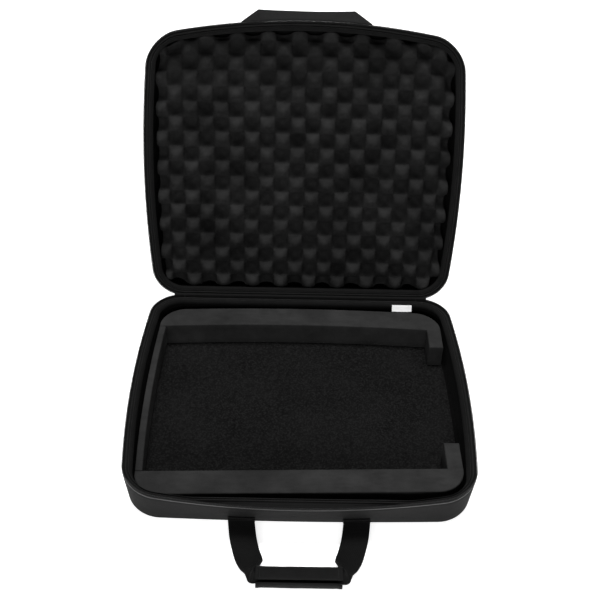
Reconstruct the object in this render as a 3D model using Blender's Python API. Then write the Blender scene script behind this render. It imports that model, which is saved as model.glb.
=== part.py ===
"""Carry case: a moulded zip case standing open on its base.

The base and the lid are two thermoformed tubs that share one rim outline and meet at a zip.
A fabric hinge joins them along the back. Foam bars line the base and an egg-crate sheet lines
the lid. Each half has a webbing handle at the front.

The object's frame: origin at the centre of the base's underside, +Z up, the handles towards -Y
and the hinge at the back towards +Y. Sizes below are millimetres and degrees.
"""

import math

import bmesh
import bpy
from mathutils import Matrix, Vector

METRES = 0.001

# Driving dimensions
RIM_WIDTH = 500.0  # widest, halfway along the sides
DEPTH = 413.5  # hinge wall to front corners
BASE_HEIGHT = 61.0  # underside to the zip's centre plane
LID_HEIGHT = 58.0  # outer face to the zip's centre plane
OPEN_ANGLE = 107.0  # lid turned back from closed
CORNER_RADIUS = 44.0
SIDE_BOW_RIM = 13.0  # how far the sides bulge at the rim, and at the outer face
SIDE_BOW_FACE = 6.0
FRONT_BOW_RIM = 28.0
FRONT_BOW_FACE = 3.0
SIDE_DRAFT = 5.0  # the outer face is this much narrower on each side
EDGE_RADIUS = 9.0  # outer face to wall
WALL = 4.5
INNER_EDGE_RADIUS = 6.0
FIT = 0.3  # gap between pieces that touch
SHARP_ANGLE = 35.0  # edges bent more than this are shaded sharp

# Rim, measured down from the zip's centre plane and in from the outline
SHELL_DROP = 8.0
ZIP_GAP = 0.8  # each half of the chain stays this far from the centre plane
COIL_HEIGHT = 2.1
COIL_INSET = 0.5
COIL_DEPTH = 1.1
COIL_SHORT = 2  # outline points between the end of the hinge and the first tooth
GUSSET_SHORT = 7.0  # the hinge's cloth ends this far before the corners
STOP_GAP = 1.5  # the metal clips that end the chain, next to that cloth
STOP_WIDTH = 3.5
STOP_HEIGHT = 5.2
TAPE_INSET = 1.9
TAPE_THICKNESS = 0.8
BINDING_INSET = 3.2
BINDING_DEPTH = 9.8
BINDING_DROP = 5.0
BINDING_SKIRT = 13.0
LINING = 1.0
LINING_FOOT = 12.0  # height above the outer face where the lining starts

# Foam in the base
FLOOR_PAD_TOP = 8.0
FOAM_TOP = 47.0
FOAM_BAR = 41.0
FOAM_REAR_Y = 190.0  # back of the rear bar, at its middle
FOAM_REAR_BOW = 8.0
FOAM_FRONT_Y = -196.0  # front of the front bar, at its middle
FOAM_FRONT_SKEW = 14.0  # its right end sits this much further back than its left end
FOAM_LEFT_X = -214.0  # inner face of the left bar at its ends
FOAM_LEFT_THICKNESS = 10.0
FOAM_LEFT_BOW = 5.0
FOAM_HOOK_X = 203.0
FOAM_HOOK_WIDTH = 22.0
FOAM_HOOK_REAR_END = 101.0
FOAM_HOOK_FRONT_END = -101.0
FOAM_CORNER = 38.0

# Egg-crate sheet in the lid
CRATE_HALF_WIDTH = 227.0
CRATE_REAR_Y = 194.0
CRATE_FRONT_Y = -196.0  # at its corners
CRATE_FRONT_BOW = 13.0
CRATE_SIDE_BOW = 4.0
CRATE_TAPER = 9.0  # its glued back is this much smaller all round
CRATE_CORNER = 36.0
CRATE_PITCH = 47.5
CRATE_SHIFT = 13.7  # sideways, from the case's middle to a peak
CRATE_THICKNESS = 36.0
CRATE_WAVE = 11.0  # half the height from a hollow to a peak

# Handles
HANDLE_HALF_SPACING = 77.0
WEBBING_WIDTH = 36.0
WEBBING_THICKNESS = 2.6
ANCHOR_THICKNESS = 2.2
ANCHOR_HEIGHT = 14.0
BASE_ANCHOR_Z = 15.0
LID_ANCHOR_Z = 22.0  # above the zip's centre plane
LEG_GAP = 1.6  # between a leg of the lid handle and its anchor
LEG_INSIDE = 18.0  # the leg's edges, either side of the anchor's middle
LEG_OUTSIDE = 7.0
BAND_CLEARANCE = 0.9  # between the lid's front wall and the handle's band
BAND_NEAR = 8.0  # the band's nearer edge, above the zip's centre plane
BAND_TILT = 18.0
BAND_LONG = 97.0
BAND_SHORT = 73.0
GRIP_Y = -306.0
GRIP_Z = 14.2
GRIP_HALF_LENGTH = 56.0
GRIP_RADIUS = 13.4
GRIP_WALL = 2.4
GRIP_SLIT_ANGLE = 150.0  # from +Y towards +Z, where the wrap's edges meet
GRIP_SLIT = 9.0
GRIP_CORE_WIDTH = 15.0  # the strap where it is rolled up inside the grip
TRIM_WIDTH = 2.2
TRIM_PROUD = 0.5  # how far the end trims stand above the wrap
STRIP_THICKNESS = 1.2
STRIP_MARGIN = 6.0
STRIP_START = 8.0  # angles from the wrap's edge to the hook and loop strips' edges
STRIP_END = 78.0

# Closed end of the zip behind the case, with its slider
TAIL_X = 178.0
TAIL_TOP = 52.5
TAIL_BOTTOM = 16.0
TAIL_STANDOFF = 1.9
TAIL_WIDTH = 9.0
TACK = 3.0  # height of the two spots where the tail is tacked down
CHAIN_WIDTH = 5.0
SLIDER_LENGTH = 10.0
SLIDER_WIDTH = 12.0
SLIDER_PLATE = 1.2
SLIDER_Z = 42.0
BAR_STANDOFF = 2.5
BAR_HALF = 0.6
CHEEK_INSIDE = 2.6
CHEEK_OUTSIDE = 3.8
CHEEK_HALF = 0.9
PULL_NECK = 1.9  # half the width of the eye
PULL_WIDTH = 7.0
PULL_TIP = 3.2
PULL_HALF = 0.7  # half its thickness
PULL_LENGTH = 24.0
EYE_INNER = 0.95
EYE_OUTER = 1.9
EYE_STEPS = 12

# Blank label, sewn under the rim's binding at the back
LABEL_LEFT = 150.0
LABEL_WIDTH = 32.0
LABEL_HEIGHT = 9.5
LABEL_DROP = 5.5
LABEL_THICKNESS = 0.6

# Outline sampling
ARC_STEPS = 7
SIDE_STEPS = 8
FRONT_STEPS = 14

HALF_WIDTH = RIM_WIDTH / 2 - SIDE_BOW_RIM  # at the corners
HALF_DEPTH = DEPTH / 2
HINGE_Y = HALF_DEPTH - TAPE_INSET - TAPE_THICKNESS / 2
HEIGHTS = {"base": BASE_HEIGHT, "lid": LID_HEIGHT}


# ---------------------------------------------------------------- outline


def lerp(a, b, t):
    return a + (b - a) * t


def flat_outline(a, b, r):
    """A rounded rectangle, clockwise from the hinge wall's right end to its left end."""
    points = []

    def arc(cx, cy, start):
        for i in range(ARC_STEPS + 1):
            angle = math.radians(start - 90 * i / ARC_STEPS)
            points.append((cx + r * math.cos(angle), cy + r * math.sin(angle)))

    def line(end, steps):
        start = points[-1]
        for i in range(1, steps):
            points.append((lerp(start[0], end[0], i / steps), lerp(start[1], end[1], i / steps)))

    arc(a - r, b - r, 90)
    line((a, r - b), SIDE_STEPS)
    arc(a - r, r - b, 0)
    line((r - a, -b), FRONT_STEPS)
    arc(r - a, r - b, -90)
    line((-a, b - r), SIDE_STEPS)
    arc(r - a, b - r, 180)
    return points


def outline(half, height, inset):
    """The case's outline at a height above the half's outer face, moved in by inset.
    The sides and the front bulge, most at the rim. The hinge wall is straight."""
    t = height / HEIGHTS[half]
    a = HALF_WIDTH - SIDE_DRAFT * (1 - t) - inset
    b = HALF_DEPTH - inset
    side_bow = lerp(SIDE_BOW_FACE, SIDE_BOW_RIM, t)
    front_bow = lerp(FRONT_BOW_FACE, FRONT_BOW_RIM, t)
    z = height if half == "base" else LID_HEIGHT - height
    points = []
    for u, v in flat_outline(a, b, CORNER_RADIUS - inset):
        x = u * (1 + side_bow / a * (1 - (v / b) ** 2))
        y = v * (1 + front_bow / b * (1 - (u / a) ** 2)) if v < 0 else v
        points.append(Vector((x, y, z)))
    return points


def front_wall_y(half, x, height):
    """Where the outer face of the front wall is."""
    t = height / HEIGHTS[half]
    a = HALF_WIDTH - SIDE_DRAFT * (1 - t)
    bow = lerp(FRONT_BOW_FACE, FRONT_BOW_RIM, t)
    return -(HALF_DEPTH + bow * (1 - (x / a) ** 2))


# ---------------------------------------------------------------- building


def material(name, color, roughness, metallic=0.0):
    made = bpy.data.materials.new(name)
    made.use_nodes = True
    shader = made.node_tree.nodes["Principled BSDF"]
    shader.inputs["Base Color"].default_value = (*color, 1)
    shader.inputs["Roughness"].default_value = roughness
    shader.inputs["Metallic"].default_value = metallic
    made.diffuse_color = (*color, 1)
    return made


def add_object(name, mesh, look, parent=None, smooth=True):
    obj = bpy.data.objects.new(name, mesh)
    bpy.context.scene.collection.objects.link(obj)
    mesh.materials.append(look)
    if smooth:
        mesh.shade_smooth()
        mesh.set_sharp_from_angle(angle=math.radians(SHARP_ANGLE))
    if parent:
        obj.parent = parent
    return obj


def mesh_from(name, points, faces):
    """A closed mesh from points in millimetres, with its faces turned outwards."""
    mesh = bpy.data.meshes.new(name)
    mesh.from_pydata([Vector(p) * METRES for p in points], [], faces)
    shape = bmesh.new()
    shape.from_mesh(mesh)
    bmesh.ops.recalc_face_normals(shape, faces=shape.faces)
    shape.to_mesh(mesh)
    shape.free()
    return mesh


def split_quad(a, b, c, d, rising):
    """Two triangles. Walls that lie on each other are always split along the same diagonal."""
    return [(a, b, c), (a, c, d)] if rising else [(a, b, d), (b, c, d)]


def loft(name, rings, closed_path, closed_profile):
    """Joins rings of points. Closed paths go right round; an open end gets a flat cap."""
    count = len(rings[0])
    points = [p for ring in rings for p in ring]
    faces = []
    for k in range(len(rings) if closed_profile else len(rings) - 1):
        low, high = k * count, (k + 1) % len(rings) * count
        rising = points[high].z > points[low].z
        for i in range(count if closed_path else count - 1):
            j = (i + 1) % count
            faces += split_quad(low + i, low + j, high + j, high + i, rising)
    if not closed_profile:
        faces.append(tuple(range(count)))
        faces.append(tuple(range(len(points) - count, len(points))))
    if not closed_path:
        faces.append(tuple(k * count for k in range(len(rings))))
        faces.append(tuple(k * count + count - 1 for k in range(len(rings))))
    return mesh_from(name, points, faces)


def tub(name, half, profile, look, parent=None):
    """A solid whose profile starts and ends in a flat face. The profile holds (height, inset)."""
    rings = [outline(half, h, inset) for h, inset in profile]
    return add_object(name, loft(name, rings, True, False), look, parent)


def ring(name, half, profile, look, parent=None):
    rings = [outline(half, h, inset) for h, inset in profile]
    return add_object(name, loft(name, rings, True, True), look, parent)


def zip_band(name, half, profile, short, look, parent=None):
    """Like a ring, but it stops at both ends of the hinge, or a few points short of them."""
    rings = [outline(half, h, inset) for h, inset in profile]
    rings = [points[short : len(points) - short] for points in rings]
    return add_object(name, loft(name, rings, False, True), look, parent)


def prism(name, polygon, bottom, top, look, parent=None):
    """A polygon in XY with straight walls."""
    rings = [[Vector((x, y, z)) for x, y in polygon] for z in (bottom, top)]
    return add_object(name, loft(name, rings, True, False), look, parent)


def box(name, low, high, look, parent=None):
    polygon = [(low[0], low[1]), (high[0], low[1]), (high[0], high[1]), (low[0], high[1])]
    return prism(name, polygon, low[2], high[2], look, parent)


def unite(target, *others):
    """Joins solids that overlap into the target with Boolean unions."""
    for other in others:
        other.hide_render = True
        other.display_type = "WIRE"
        union = target.modifiers.new("union_" + other.name, "BOOLEAN")
        union.operation = "UNION"
        union.object = other


def quarter_arc(cx, cy, radius, start, steps=5):
    """Points of a quarter circle, anticlockwise from the start angle."""
    angles = [math.radians(start + 90 * i / steps) for i in range(steps + 1)]
    return [(cx + radius * math.cos(a), cy + radius * math.sin(a)) for a in angles]


def catmull_rom(a, b, c, d, t):
    """The value between b and c at t, on a smooth curve through all four."""
    bend = 2 * a - 5 * b + 4 * c - d
    twist = 3 * b - a - 3 * c + d
    return 0.5 * (2 * b + (c - a) * t + bend * t**2 + twist * t**3)


def smooth_path(stations, steps):
    """Stations on a smooth curve through the given ones, which are tuples of numbers."""
    ends = [stations[0], *stations, stations[-1]]
    found = []
    for near in zip(ends, ends[1:], ends[2:], ends[3:]):
        for i in range(steps):
            found.append(tuple(catmull_rom(*values, i / steps) for values in zip(*near)))
    return [*found, stations[-1]]


# ---------------------------------------------------------------- shells and rim


def shell_profile(half):
    """(height, inset) from the outer face up the wall, over its edge and down to the inner floor."""
    top = HEIGHTS[half] - SHELL_DROP
    outside = []
    for i in range(5):
        angle = math.radians(90 * i / 4)
        outside.append((EDGE_RADIUS * (1 - math.cos(angle)), EDGE_RADIUS * (1 - math.sin(angle))))
    skirt = HEIGHTS[half] - BINDING_SKIRT
    walls = (wall_middle(half), skirt, top)
    outside += [(h, 0.0) for h in walls]
    inside = [(h, WALL) for h in reversed(walls)]
    for i in range(4):
        angle = math.radians(90 * i / 3)
        height = WALL + INNER_EDGE_RADIUS * (1 - math.sin(angle))
        inside.append((height, WALL + INNER_EDGE_RADIUS * (1 - math.cos(angle))))
    return outside + inside


def wall_middle(half):
    return (LINING_FOOT + HEIGHTS[half] - BINDING_SKIRT) / 2


def make_half(half, looks, parent=None):
    """The pieces that the base and the lid have alike."""
    rim = HEIGHTS[half]
    tub(half + "_shell", half, shell_profile(half), looks["shell"], parent)

    foot, head = LINING_FOOT, rim - BINDING_SKIRT - FIT
    middle = wall_middle(half)
    outer, inner = WALL + FIT, WALL + FIT + LINING
    skin = [(foot, outer), (middle, outer), (head, outer), (head, inner), (middle, inner), (foot, inner)]
    ring(half + "_lining", half, skin, looks["lining"], parent)

    seat = rim - SHELL_DROP + FIT
    edge = BINDING_INSET + BINDING_DEPTH
    fold = [
        (seat, BINDING_INSET),
        (rim - BINDING_DROP, BINDING_INSET),
        (rim - BINDING_DROP, edge),
        (rim - BINDING_SKIRT, edge),
        (rim - BINDING_SKIRT, WALL + FIT),
        (seat, WALL + FIT),
    ]
    ring(half + "_rim_binding", half, fold, looks["binding"], parent)

    chain = rim - ZIP_GAP
    back = TAPE_INSET + TAPE_THICKNESS
    tape = [(seat, TAPE_INSET), (chain, TAPE_INSET), (chain, back), (seat, back)]
    zip_band(half + "_zip_tape", half, tape, 0, looks["tape"], parent)
    foot, back = chain - COIL_HEIGHT, COIL_INSET + COIL_DEPTH
    coil = [(foot, COIL_INSET), (chain, COIL_INSET), (chain, back), (foot, back)]
    zip_band(half + "_zip_coil", half, coil, COIL_SHORT, looks["coil"], parent)


def make_hinge(looks, lid):
    """One fabric gusset, in two leaves that meet at the hinge line."""
    reach = HALF_WIDTH - CORNER_RADIUS - GUSSET_SHORT
    back = HALF_DEPTH - TAPE_INSET
    front = back - TAPE_THICKNESS
    seat, chain = SHELL_DROP - FIT, BASE_HEIGHT - ZIP_GAP
    cloth = looks["binding"]
    box("hinge_gusset_lower", (-reach, front, BASE_HEIGHT - seat), (reach, back, chain), cloth)
    box("hinge_gusset_upper", (-reach, front, ZIP_GAP), (reach, back, seat), cloth, lid)
    for side, name in ((-1, "left"), (1, "right")):
        xs = sorted((side * (reach + STOP_GAP), side * (reach + STOP_GAP + STOP_WIDTH)))
        low = (xs[0], HALF_DEPTH - BINDING_INSET + FIT, chain - STOP_HEIGHT)
        high = (xs[1], HALF_DEPTH - COIL_INSET, chain)
        box("zip_stop_" + name, low, high, looks["metal"])


# ---------------------------------------------------------------- foam


def make_base_foam(looks):
    inset = WALL + INNER_EDGE_RADIUS + FIT
    tub("base_floor_pad", "base", [(WALL + FIT, inset), (FLOOR_PAD_TOP, inset)], looks["fleece"])
    bottom = FLOOR_PAD_TOP + FIT
    right = FOAM_HOOK_X + FOAM_HOOK_WIDTH
    left = FOAM_LEFT_X - FOAM_LEFT_THICKNESS
    middle, reach = (left + right) / 2, (right - left) / 2

    def rear_edge(x, offset):
        return FOAM_REAR_Y - offset - FOAM_REAR_BOW * ((x - middle) / reach) ** 2

    def front_edge(x, offset):
        return FOAM_FRONT_Y + offset + FOAM_FRONT_SKEW / 2 * (x - middle) / reach

    def edge_points(edge, start, end, offset, steps=8):
        xs = [lerp(start, end, i / steps) for i in range(steps + 1)]
        return [(x, edge(x, offset)) for x in xs]

    def follow(edge, sign, arc_points):
        """Corner points of a rounded end, carried along with a bar's outer edge."""
        return [(x, edge(x, 0) - sign * drop) for x, drop in arc_points]

    r = FOAM_CORNER
    left_arc = [(left + r - x, r - y) for x, y in quarter_arc(0, 0, r, 0)]
    right_arc = [(right - r + x, r - y) for x, y in quarter_arc(0, 0, r, 0)]
    rear = edge_points(rear_edge, left + r, right - r, 0)[1:-1]
    rear += follow(rear_edge, 1, list(reversed(right_arc)))
    rear += [(right, FOAM_HOOK_REAR_END), (FOAM_HOOK_X, FOAM_HOOK_REAR_END)]
    rear += edge_points(rear_edge, FOAM_HOOK_X, left, FOAM_BAR)
    rear += follow(rear_edge, 1, left_arc)
    prism("rear_foam_bar", rear, bottom, FOAM_TOP, looks["foam"])

    front = edge_points(front_edge, left + r, right - r, 0, 2)[1:-1]
    front += follow(front_edge, -1, list(reversed(right_arc)))
    front += [(right, FOAM_HOOK_FRONT_END), (FOAM_HOOK_X, FOAM_HOOK_FRONT_END)]
    front += edge_points(front_edge, FOAM_HOOK_X, left, FOAM_BAR, 1)
    front += follow(front_edge, -1, left_arc)
    prism("front_foam_bar", front, bottom, FOAM_TOP, looks["foam"])

    rear_y = rear_edge(left, FOAM_BAR) - FIT
    front_y = front_edge(left, FOAM_BAR) + 2 * FIT
    inner, outer = [], []
    steps = 8
    for i in range(steps + 1):
        t = i / steps
        bow = FOAM_LEFT_BOW * (1 - (2 * t - 1) ** 2)
        y = lerp(front_y, rear_y, t)
        inner.append((FOAM_LEFT_X - bow, y))
        outer.append((left - bow, y))
    prism("left_foam_bar", inner + outer[::-1], bottom, FOAM_TOP, looks["foam"])


def crate_wave(x, y):
    turn = 2 * math.pi / CRATE_PITCH
    return CRATE_WAVE * math.cos(turn * (x - CRATE_SHIFT)) * math.cos(turn * y)


def make_eggcrate(looks, lid):
    """The sheet's flat back is glued to the lid; its waves face the case's inside."""
    back = LID_HEIGHT - WALL - FIT
    mean = back - CRATE_THICKNESS + CRATE_WAVE
    columns = round(4 * 2 * CRATE_HALF_WIDTH / CRATE_PITCH)
    rows = round(4 * (CRATE_REAR_Y - CRATE_FRONT_Y) / CRATE_PITCH)

    def half_width(y):
        into = max(0.0, y - (CRATE_REAR_Y - CRATE_CORNER), (CRATE_FRONT_Y + CRATE_CORNER) - y)
        return CRATE_HALF_WIDTH - CRATE_CORNER + math.sqrt(max(0.0, CRATE_CORNER**2 - into**2))

    waves = []
    for j in range(rows + 1):
        v = lerp(CRATE_REAR_Y, CRATE_FRONT_Y, j / rows)
        reach = half_width(v)
        for i in range(columns + 1):
            u = lerp(-reach, reach, i / columns)
            x = u * (1 + CRATE_SIDE_BOW / CRATE_HALF_WIDTH * (1 - (v / CRATE_FRONT_Y) ** 2))
            bow = CRATE_FRONT_BOW * (1 - (u / CRATE_HALF_WIDTH) ** 2)
            y = v * (1 - bow / CRATE_FRONT_Y) if v < 0 else v
            waves.append(Vector((x, y, mean - crate_wave(x, y))))
    width = columns + 1
    border = [i for i in range(width)]
    border += [j * width + columns for j in range(1, rows + 1)]
    border += [rows * width + i for i in range(columns - 1, -1, -1)]
    border += [j * width for j in range(rows - 1, 0, -1)]
    taper = 1 - CRATE_TAPER / CRATE_HALF_WIDTH
    points = waves + [Vector((waves[k].x * taper, waves[k].y * taper, back)) for k in border]
    faces = []
    for j in range(rows):
        for i in range(columns):
            k = j * width + i
            faces.append((k, k + 1, k + width + 1, k + width))
    first = len(waves)
    for n, k in enumerate(border):
        m = (n + 1) % len(border)
        faces.append((k, border[m], first + m, first + n))
    faces.append(tuple(range(first, len(points))))
    add_object("lid_eggcrate_foam", mesh_from("lid_eggcrate_foam", points, faces), looks["crate"], lid)


# ---------------------------------------------------------------- handles


def anchor(name, half, x, height, looks, parent=None):
    """The sewn end of a strap, lying on the front wall."""
    corners = []
    for dx, dh in ((-1, -1), (1, -1), (1, 1), (-1, 1)):
        px = x + dx * WEBBING_WIDTH / 2
        h = height + dh * ANCHOR_HEIGHT / 2
        z = h if half == "base" else LID_HEIGHT - h
        corners.append((px, front_wall_y(half, px, h) - 2 * FIT, z))
    rings = [[Vector((px, y - depth, z)) for px, y, z in corners] for depth in (0, ANCHOR_THICKNESS)]
    add_object(name, loft(name, rings, True, False), looks["webbing"], parent, smooth=False)


def ribbon(name, stations, thickness, look, parent=None):
    """A strap. Each station holds its centre, the direction across its width, and its width."""
    rings = []
    for k, station in enumerate(stations):
        centre = Vector(station[0:3])
        across = Vector(station[3:6]).normalized()
        before = Vector(stations[max(k - 1, 0)][0:3])
        after = Vector(stations[min(k + 1, len(stations) - 1)][0:3])
        normal = across.cross(after - before).normalized()
        side, up = across * station[6] / 2, normal * thickness / 2
        rings.append([centre - side - up, centre + side - up, centre + side + up, centre - side + up])
    return add_object(name, loft(name, rings, True, False), look, parent)


def grip_arc(radius, start, end, steps):
    """Points of an arc round the grip's axis, in (y, z)."""
    angles = [math.radians(lerp(start, end, i / steps)) for i in range(steps + 1)]
    return [(radius * math.cos(a), radius * math.sin(a)) for a in angles]


def grip_sleeve(name, radii, angles, reach, steps, look, parent):
    """Part of a tube along X, round the grip's axis, between two radii and two angles."""
    section = grip_arc(radii[1], *angles, steps)
    section += grip_arc(radii[0], *angles, steps)[::-1]
    centre = Vector((0, GRIP_Y, GRIP_Z)) - parent.location / METRES
    rings = [[Vector((x, centre.y + y, centre.z + z)) for y, z in section] for x in reach]
    return add_object(name, loft(name, rings, True, False), look, parent)


def make_base_handle(looks):
    for side, name in ((-1, "left"), (1, "right")):
        anchor("base_anchor_" + name, "base", side * HANDLE_HALF_SPACING, BASE_ANCHOR_Z, looks)
    front = front_wall_y("base", HANDLE_HALF_SPACING, BASE_ANCHOR_Z)
    root_y = front - 3 * FIT - ANCHOR_THICKNESS - WEBBING_THICKNESS
    swing = bpy.data.objects.new("base_handle_axis", None)
    bpy.context.scene.collection.objects.link(swing)
    swing.location = Vector((0, root_y, BASE_ANCHOR_Z)) * METRES
    drop, reach = GRIP_Z - BASE_ANCHOR_Z, GRIP_Y - root_y
    root, width, core = -HANDLE_HALF_SPACING, WEBBING_WIDTH, GRIP_CORE_WIDTH
    leg = [
        (root, 0, 0, 1, 0, 0, width),
        (root + 2, reach * 0.25, -5, 1, 0, 0, width),
        (root + 7, reach * 0.48, -10, 1, 0.03, 0.05, width - 1),
        (root + 13, reach * 0.62, -9, 1, 0.1, 0.25, width - 6),
        (root + 12, reach * 0.72, -5, 0.8, 0.1, 0.6, width - 16),
        (root + 7, reach * 0.90, -2, 0.35, -0.1, 0.93, core + 3),
        (-GRIP_HALF_LENGTH - 6, reach, drop, 0.1, -0.3, 0.94, core + 1),
        (6 - GRIP_HALF_LENGTH, reach, drop, 0, -0.3, 0.95, core),
    ]
    left = smooth_path(leg, 3)
    right = [(-x, y, z, -wx, wy, wz, w) for x, y, z, wx, wy, wz, w in reversed(left)]
    ribbon("base_handle_webbing", left + right, WEBBING_THICKNESS, looks["webbing"], swing)

    low_edge, high_edge = GRIP_SLIT_ANGLE + GRIP_SLIT / 2, GRIP_SLIT_ANGLE - GRIP_SLIT / 2
    around = (low_edge, high_edge + 360)
    inner, half = GRIP_RADIUS - GRIP_WALL, GRIP_HALF_LENGTH
    grip_sleeve("grip_wrap", (inner, GRIP_RADIUS), around, (-half, half), 28, looks["wrap"], swing)
    radii = (inner - 2 * FIT - STRIP_THICKNESS, inner - 2 * FIT)
    strips = (STRIP_MARGIN - half, half - STRIP_MARGIN)
    near, far = STRIP_START, STRIP_END
    loop_angles, hook_angles = (low_edge + near, low_edge + far), (high_edge - far, high_edge - near)
    grip_sleeve("grip_loop_strip", radii, loop_angles, strips, 6, looks["loop"], swing)
    grip_sleeve("grip_hook_strip", radii, hook_angles, strips, 6, looks["loop"], swing)
    radii = (inner, GRIP_RADIUS + TRIM_PROUD)
    for side, name in ((-1, "left"), (1, "right")):
        xs = sorted((side * (half + FIT), side * (half + FIT + TRIM_WIDTH)))
        grip_sleeve("grip_end_trim_" + name, radii, around, xs, 28, looks["binding"], swing)
    return swing


def make_lid_handle(looks, lid):
    """A flat webbing loop: two short legs and a band folded to lie along the rim."""
    for side, name in ((-1, "left"), (1, "right")):
        height = LID_HEIGHT - LID_ANCHOR_Z
        anchor("lid_anchor_" + name, "lid", side * HANDLE_HALF_SPACING, height, looks, lid)
    front = front_wall_y("lid", HANDLE_HALF_SPACING, LID_HEIGHT - LID_ANCHOR_Z)
    root_y = front - 3 * FIT - ANCHOR_THICKNESS
    swing = bpy.data.objects.new("lid_handle_axis", None)
    bpy.context.scene.collection.objects.link(swing)
    swing.parent = lid
    swing.location = Vector((0, root_y, LID_ANCHOR_Z)) * METRES

    tilt = math.radians(BAND_TILT)
    wall = front_wall_y("lid", 0, LID_HEIGHT - BAND_NEAR)
    under = wall - BAND_CLEARANCE - root_y
    near = BAND_NEAR - LID_ANCHOR_Z
    far, rise = near + WEBBING_WIDTH * math.cos(tilt), WEBBING_WIDTH * math.sin(tilt)
    corners = [(-BAND_LONG, 0, near), (BAND_LONG, 0, near)]
    corners += [(BAND_SHORT, -rise, far), (-BAND_SHORT, -rise, far)]
    rings = []
    for depth in (0, WEBBING_THICKNESS):
        rings.append([Vector((x, under + y - depth, z)) for x, y, z in corners])
    mesh = loft("lid_handle_webbing", rings, True, False)
    band = add_object("lid_handle_webbing", mesh, looks["webbing"], swing)

    half = WEBBING_THICKNESS / 2
    at_band = under + near * math.tan(tilt) - half
    for side, name in ((-1, "left"), (1, "right")):
        ends = (side * (HANDLE_HALF_SPACING - LEG_INSIDE), side * (HANDLE_HALF_SPACING + LEG_OUTSIDE))
        low, high = (min(ends), at_band, -half), (max(ends), -LEG_GAP, half)
        unite(band, box("lid_leg_" + name, low, high, looks["webbing"], swing))
    return swing


# ---------------------------------------------------------------- zip sliders


def make_tail(side, name, looks):
    """The closed end of the chain, turned down behind the case and tacked to the wall."""
    wall = HALF_DEPTH + FIT
    low, high = wall + TAIL_STANDOFF, wall + TAIL_STANDOFF + TAPE_THICKNESS
    left, right = side * TAIL_X - TAIL_WIDTH / 2, side * TAIL_X + TAIL_WIDTH / 2
    cloth = looks["tape"]
    tail = box("zip_tail_" + name, (left, low, TAIL_BOTTOM), (right, high, TAIL_TOP), cloth)
    sunk = 0.2
    tack_low, tack_high = (left, wall, TAIL_TOP - TACK), (right, low + sunk, TAIL_TOP)
    tack = box("tail_tack_" + name, tack_low, tack_high, cloth)
    foot_low, foot_high = (left, wall, TAIL_BOTTOM), (right, low + sunk, TAIL_BOTTOM + TACK)
    foot = box("tail_foot_" + name, foot_low, foot_high, cloth)
    left, right = side * TAIL_X - CHAIN_WIDTH / 2, side * TAIL_X + CHAIN_WIDTH / 2
    chain_low = (left, high - sunk, TAIL_BOTTOM + 2)
    chain_high = (right, high + COIL_DEPTH, TAIL_TOP - 2)
    unite(tail, box("tail_chain_" + name, chain_low, chain_high, looks["coil"]), tack, foot)


def make_slider(side, name, looks):
    """The zip slider on its tail: a sleeve round the chain, with two cheeks and a bar."""
    x = side * TAIL_X
    wall = HALF_DEPTH + FIT
    tape_low = wall + TAIL_STANDOFF
    inner, outer = wall + FIT, tape_low + TAPE_THICKNESS + COIL_DEPTH + FIT + SLIDER_PLATE
    half, lane = SLIDER_WIDTH / 2, TAIL_WIDTH / 2 + FIT
    lane_low, lane_high = tape_low - FIT, outer - SLIDER_PLATE
    rings = []
    for wide, low, high, way in ((half, inner, outer, 1), (lane, lane_low, lane_high, -1)):
        for end in (-way, way):
            z = SLIDER_Z + end * SLIDER_LENGTH / 2
            section = [(x - wide, low), (x + wide, low), (x + wide, high), (x - wide, high)]
            rings.append([Vector((px, py, z)) for px, py in section])
    metal = looks["metal"]
    sleeve = loft("zip_slider_" + name, rings, True, True)
    body = add_object("zip_slider_" + name, sleeve, metal, smooth=False)
    bar_y = outer + BAR_STANDOFF
    cheeks = []
    for end in (-1, 1):
        xs = sorted((x + end * CHEEK_INSIDE, x + end * CHEEK_OUTSIDE))
        low = (xs[0], outer - 0.4, SLIDER_Z - CHEEK_HALF)
        high = (xs[1], bar_y + 1.1, SLIDER_Z + CHEEK_HALF)
        cheeks.append(box(f"slider_cheek_{name}_{end + 1}", low, high, metal))
    reach = (CHEEK_INSIDE + CHEEK_OUTSIDE) / 2
    low = (x - reach, bar_y - BAR_HALF, SLIDER_Z - BAR_HALF)
    high = (x + reach, bar_y + BAR_HALF, SLIDER_Z + BAR_HALF)
    unite(body, *cheeks, box("slider_bar_" + name, low, high, metal))
    return bar_y


def make_pull(side, name, bar_y, looks):
    """The pull hangs from the slider's bar by its eye."""
    swing = bpy.data.objects.new("zip_pull_axis_" + name, None)
    bpy.context.scene.collection.objects.link(swing)
    swing.location = Vector((side * TAIL_X, bar_y, SLIDER_Z)) * METRES
    angles = [2 * math.pi * i / EYE_STEPS for i in range(EYE_STEPS)]
    rings = []
    for radius, end in ((EYE_INNER, -1), (EYE_INNER, 1), (EYE_OUTER, 1), (EYE_OUTER, -1)):
        arc = [(radius * math.cos(a), radius * math.sin(a)) for a in angles]
        rings.append([Vector((end * PULL_NECK, y, z)) for y, z in arc])
    metal = looks["metal"]
    pull = add_object("zip_pull_" + name, loft("zip_pull_" + name, rings, True, True), metal, swing)
    half, tip = PULL_WIDTH / 2, PULL_TIP / 2
    right = [(PULL_NECK, -1.4), (half, -6), (half, 3 - PULL_LENGTH), (tip, -PULL_LENGTH)]
    outline_points = right + [(-bx, bz) for bx, bz in reversed(right)]
    rings = [[Vector((bx, y, bz)) for bx, bz in outline_points] for y in (-PULL_HALF, PULL_HALF)]
    blade = loft("pull_blade_" + name, rings, True, False)
    unite(pull, add_object("pull_blade_" + name, blade, metal, swing))


# ---------------------------------------------------------------- label and assembly


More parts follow.
